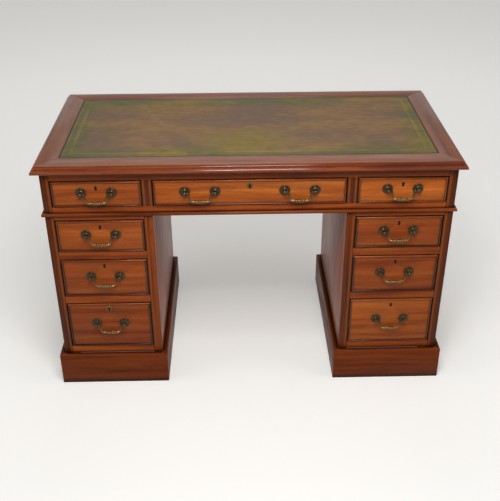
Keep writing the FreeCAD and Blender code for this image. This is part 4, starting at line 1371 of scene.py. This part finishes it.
@dataclass
class DrawerLock(Fitting):
    """Drawer lock with its keyhole, modelled about the middle of the keyhole's head. Sizes are in mm."""

    head: float = 2.7
    waist: float = 1.5
    flare: float = 2.1
    length: float = 8.2
    wall: float = 0.9
    depth: float = 7.0
    proud: float = 0.3
    liner_arris: float = 0.15
    plate_profile: Rows = (
        (8.5, 0.0, 0.1), (8.5, 0.5, 0.5), (8.1, 0.95, 0.7), (7.4, 1.0, 0.6), (6.8, 0.7, 0.3),
        (6.2, 0.8, 0.55), (1.0, 1.0, 0.6),
    )
    plate_cut: float = 3.0
    screw_profile: Rows = ((2.4, 0.0, 0.3), (2.4, 0.25, 0.5), (1.7, 0.7, 0.6), (0.4, 0.9, 0.6))
    screw_slot: Triple = (6.0, 0.9, 0.5)
    screw_inset: float = 4.0
    case_arris: float = 0.3
    cap_inset: float = 8.0
    cap_rise: float = 0.6

    def make_patterns(self) -> None:
        """Model the keyhole's liner, the round plate that some drawers have over it, and a screw."""
        self.patterns = {"liner": self.make_liner(), "plate": self.make_plate(), "screw": self.make_screw()}

    def keyhole(self, name: str, margin: float = 0.0) -> Piece:
        """Draw a keyhole's outline as a loop of edges, grown on every side by a margin.

        Args:
            name: Name of the new object.
            margin: Growth in mm.

        Returns:
            The outline, in the plane of the drawer's face.
        """
        head, waist, flare = (half + margin for half in (self.head, self.waist, self.flare))
        shoulder, foot = -math.sqrt(head ** 2 - waist ** 2), -(self.length + margin)
        outline = begin(name, bpy.ops.mesh.primitive_circle_add, vertices=32, radius=head * MM,
                        fill_type="NOTHING", rotation=Axis.OUTWARDS.turn)
        points = outline.data.vertices
        with editing(outline):
            bpy.ops.mesh.bisect(plane_co=(0, 0, shoulder * MM), plane_no=(0, 0, 1), clear_inner=True)
        lowest = sorted(points, key=lambda point: point.co.z)[:2]
        ends = [point.index for point in sorted(lowest, key=lambda point: point.co.x)]
        for end, side in zip(ends, Side):
            start = points[end].co
            step = Vector((side.value * flare * MM - start.x, 0, foot * MM - start.z))
            with editing(outline, "vertices", lambda point: point.index == end):
                pull(step)
        with editing(outline, "vertices", lambda point: point.index >= len(points) - 2):
            bpy.ops.mesh.edge_face_add()
        return outline

    def make_liner(self) -> Piece:
        """Bridge two keyhole outlines and draw them out into the liner's wall.

        Returns:
            The liner.
        """
        outlines = [self.keyhole("keyhole_outer", self.wall), self.keyhole("keyhole_inner")]
        liner = join("liner_pattern", outlines)
        with editing(liner):
            bpy.ops.mesh.bridge_edge_loops()
            bpy.ops.mesh.select_all(action="SELECT")
            bpy.ops.transform.translate(value=(0, -self.proud * MM, 0))
            pull((0, (self.depth + self.proud) * MM, 0))
            face_outwards()
        ease(liner, self.liner_arris, 60)
        rub_evenly(liner, 0.1)
        smooth(liner, 40)
        return liner

    def make_plate(self) -> Piece:
        """Turn a round escutcheon plate and cut the keyhole through it.

        Returns:
            The plate.
        """
        plate = turn_on_lathe("plate_pattern", self.plate_profile, segments=40)
        cutter = self.keyhole("plate_cutter")
        with editing(cutter):
            bpy.ops.mesh.edge_face_add()
            bpy.ops.transform.translate(value=(0, -self.plate_cut * MM, 0))
            pull((0, 2 * self.plate_cut * MM, 0))
            face_outwards()
        cut(plate, cutter)
        smooth(plate, 40)
        return plate

    def make_screw(self) -> Piece:
        """Turn a screw's domed head, saw its slot, and turn it to face into the drawer.

        Returns:
            The screw's head.
        """
        screw = turn_on_lathe("screw_pattern", self.screw_profile, segments=20)
        crown = self.screw_profile[-1][1]
        cut(screw, begin("slot_saw", bpy.ops.mesh.primitive_cube_add, scale=Vector(self.screw_slot) * MM,
                         size=1, location=(0, -crown * MM, 0)))
        screw.data.transform(Matrix.Rotation(math.pi, 4, "Z"))
        smooth(screw, 40)
        return screw

    def fit(self, case: Board, plated: bool, key_place: Vector) -> list[Piece]:
        """Fit a lock's case, screws, liner and plate to one drawer.

        Args:
            case: Solid of the lock's case.
            plated: Whether the keyhole has a round plate.
            key_place: Middle of the keyhole's head, on the drawer's face.

        Returns:
            The new pieces.
        """
        pieces = [self.make_case(case), self.stand("liner", key_place)]
        if plated:
            pieces.append(self.stand("plate", key_place))
        inset = self.screw_inset * MM
        for x in (case.low[0] + inset, case.high[0] - inset):
            for z in (case.low[2] + inset, case.high[2] - inset):
                pieces.append(self.stand("screw", Vector((x, case.high[1], z))))
        return pieces

    def make_case(self, case: Board) -> Piece:
        """Model the lock's case with its raised cap.

        Args:
            case: Solid of the lock's case.

        Returns:
            The case.
        """
        piece = begin("lock_case", bpy.ops.mesh.primitive_cube_add, scale=case.size, size=1,
                      location=case.middle)
        with editing(piece, "polygons", lambda face: face.normal.y > 0.9):
            bpy.ops.mesh.inset(thickness=self.cap_inset * MM)
            pull((0, self.cap_rise * MM, 0))
        ease(piece, self.case_arris)
        rub_evenly(piece, 0.55)
        smooth(piece, 35)
        return piece


@dataclass
class Drawer:
    """One drawer: beaded front, dovetailed box, lock and handles."""

    nodes: Nodes
    joints: list[dict]
    key: str
    handle: SwanNeckHandle
    lock: DrawerLock
    tone: float
    plated: bool = False

    @property
    def body(self) -> str:
        """Name of the drawer's CAD body."""
        return f"{self.key}_drawer"

    def build(self) -> None:
        """Build and dress the drawer with its brasses and bails."""
        wood = Woodwork(self.nodes, self.body)
        wood.copy_beaded(f"{self.key}_drawer_front", arris_mm=0.45, tone=self.tone)
        wood.copy(f"{self.key}_drawer_box", OAK_LINING, arris_mm=0.4)
        pieces = self.fit_lock()
        for joint in self.joints:
            if joint["type"] == "hinge" and joint["parent"] == self.body:
                pivot = Vector(joint["pos_m"])
                pieces += self.handle.mount(pivot)
                bail = self.handle.stand("bail", pivot)
                bail.name = joint["child"] + "_brass"
                smooth(bail, 60)
                dress(bail, BRASS, joint["child"], joint["child"])
        dress(join(f"{self.key}_drawer_fittings", pieces), BRASS, self.body, f"{self.key}_brasses")

    def fit_lock(self) -> list[Piece]:
        """Find the lock's case and keyhole among the drawer's CAD solids and fit the lock there.

        Returns:
            The lock's pieces.
        """
        solids = boards_of(self.nodes[f"{self.key}_brasses"])
        case = max(solids, key=lambda solid: solid.size[0])
        depth = (self.lock.depth + self.lock.proud) * MM
        liner = min(solids, key=lambda solid: abs(solid.size[1] - depth))
        head_drop = (self.lock.head + self.lock.wall) * MM
        face = liner.low[1] + self.lock.proud * MM
        place = Vector((liner.middle[0], face, liner.high[2] - head_drop))
        return self.lock.fit(case, self.plated, place)


@dataclass(frozen=True)
class Studio:
    """Pale floor, soft light, and the camera at the photograph's view.

    A lamp's row has its place, its size and its power.
    """

    eye: Triple = (-0.0409, -2.3159, 1.6812)
    turn: Triple = (2.1058, -0.02609, 0.00893)
    focal_px: float = 797.8
    frame_px: float = 501.0
    sensor_mm: float = 36.0
    floor_size: float = 30.0
    backdrop_colour: str = "#dddcd8"
    ambient: float = 0.26
    ceiling: tuple[float, ...] = (0.45, 0.8, 1.0, 0.25)
    aim: Triple = (0.0, 0.0, 0.45)
    lamps: tuple[tuple[str, Triple, float, float], ...] = (
        ("softbox_key", (0.05, -1.2, 2.1), 0.8, 25.0),
        ("softbox_small", (-0.2, -1.7, 2.2), 0.1, 4.0),
        ("softbox_left", (-3.0, -1.0, 2.4), 1.6, 16.0),
        ("softbox_right", (3.0, -1.0, 2.4), 1.6, 16.0),
        ("softbox_back", (0.0, 2.2, 3.6), 1.6, 24.0),
    )

    def build(self) -> None:
        """Set up the view, the floor, the world and the lamps."""
        self.place_camera()
        floor = begin("studio_floor", bpy.ops.mesh.primitive_plane_add, size=self.floor_size)
        floor.data.materials.append(FLOOR_PAINT.material())
        self.light_world()
        self.hang_lamps()
        bpy.context.scene.view_settings.view_transform = "Standard"

    def place_camera(self) -> None:
        """Place the camera from its fitted eye point, turn and focal length."""
        turn = Vector(self.turn)
        right, down, ahead = Matrix.Rotation(turn.length, 3, turn.normalized())
        bpy.ops.object.camera_add(location=self.eye)
        camera = bpy.context.object
        camera.rotation_euler = Matrix((right, -down, -ahead)).transposed().to_euler()
        camera.data.sensor_width = self.sensor_mm
        camera.data.lens = self.focal_px * self.sensor_mm / self.frame_px
        bpy.context.scene.camera = camera

    def light_world(self) -> None:
        """Light the world softly, and show it paler, with a dim ceiling, to the eye and in reflections."""
        world = bpy.data.worlds.new("studio_world")
        world.use_nodes = True
        bpy.context.scene.world = world
        tree = world.node_tree
        tree.nodes.clear()
        add = partial(add_node, tree)
        height = add("SeparateXYZ", {0: add("TexCoord", out="Generated")}, "Z")
        shown = add("MapRange", dict(enumerate((height, *self.ceiling))), **SOFT)
        strength = add("MapRange", {0: background_rays(add), 3: self.ambient, 4: shown})
        light = add("Background", {"Color": linear(self.backdrop_colour), "Strength": strength})
        add("OutputWorld", {"Surface": light})

    def hang_lamps(self) -> None:
        """Hang a large and a small softbox above the front and weaker ones at the sides and the back."""
        for name, place, size, power in self.lamps:
            bpy.ops.object.light_add(type="AREA", location=place)
            lamp = bpy.context.object
            lamp.name = name
            lamp.data.energy = power
            lamp.data.size = size
            lamp.rotation_euler = (Vector(self.aim) - Vector(place)).to_track_quat("-Z", "Y").to_euler()


# Tone of each pedestal's front frame
PEDESTALS = {Side.LEFT: 0.78, Side.RIGHT: 0.59}
# Tone of each drawer's front, and whether its keyhole has a round plate
DRAWERS = {
    "frieze_left": (0.28, False),
    "frieze_centre": (0.42, True),
    "frieze_right": (0.59, False),
    "left_upper": (0.3, False),
    "left_middle": (0.12, False),
    "left_lower": (0.05, True),
    "right_upper": (0.1, False),
    "right_middle": (0.12, False),
    "right_lower": (0.48, False),
}


def main() -> None:
    """Build the desk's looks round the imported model."""
    logging.basicConfig(level=logging.INFO, format="%(message)s")
    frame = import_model()
    nodes = frame["nodes"]
    Studio().build()
    WritingTop(nodes).build()
    Frieze(nodes).build()
    for side, tone in PEDESTALS.items():
        Pedestal(nodes, side, tone).build()
    handle, lock = SwanNeckHandle(), DrawerLock()
    handle.make_patterns()
    lock.make_patterns()
    for key, (tone, plated) in DRAWERS.items():
        Drawer(nodes, frame["joints"], key, handle, lock, tone, plated).build()
    handle.clear()
    lock.clear()


if __name__ == "__main__":
    main()
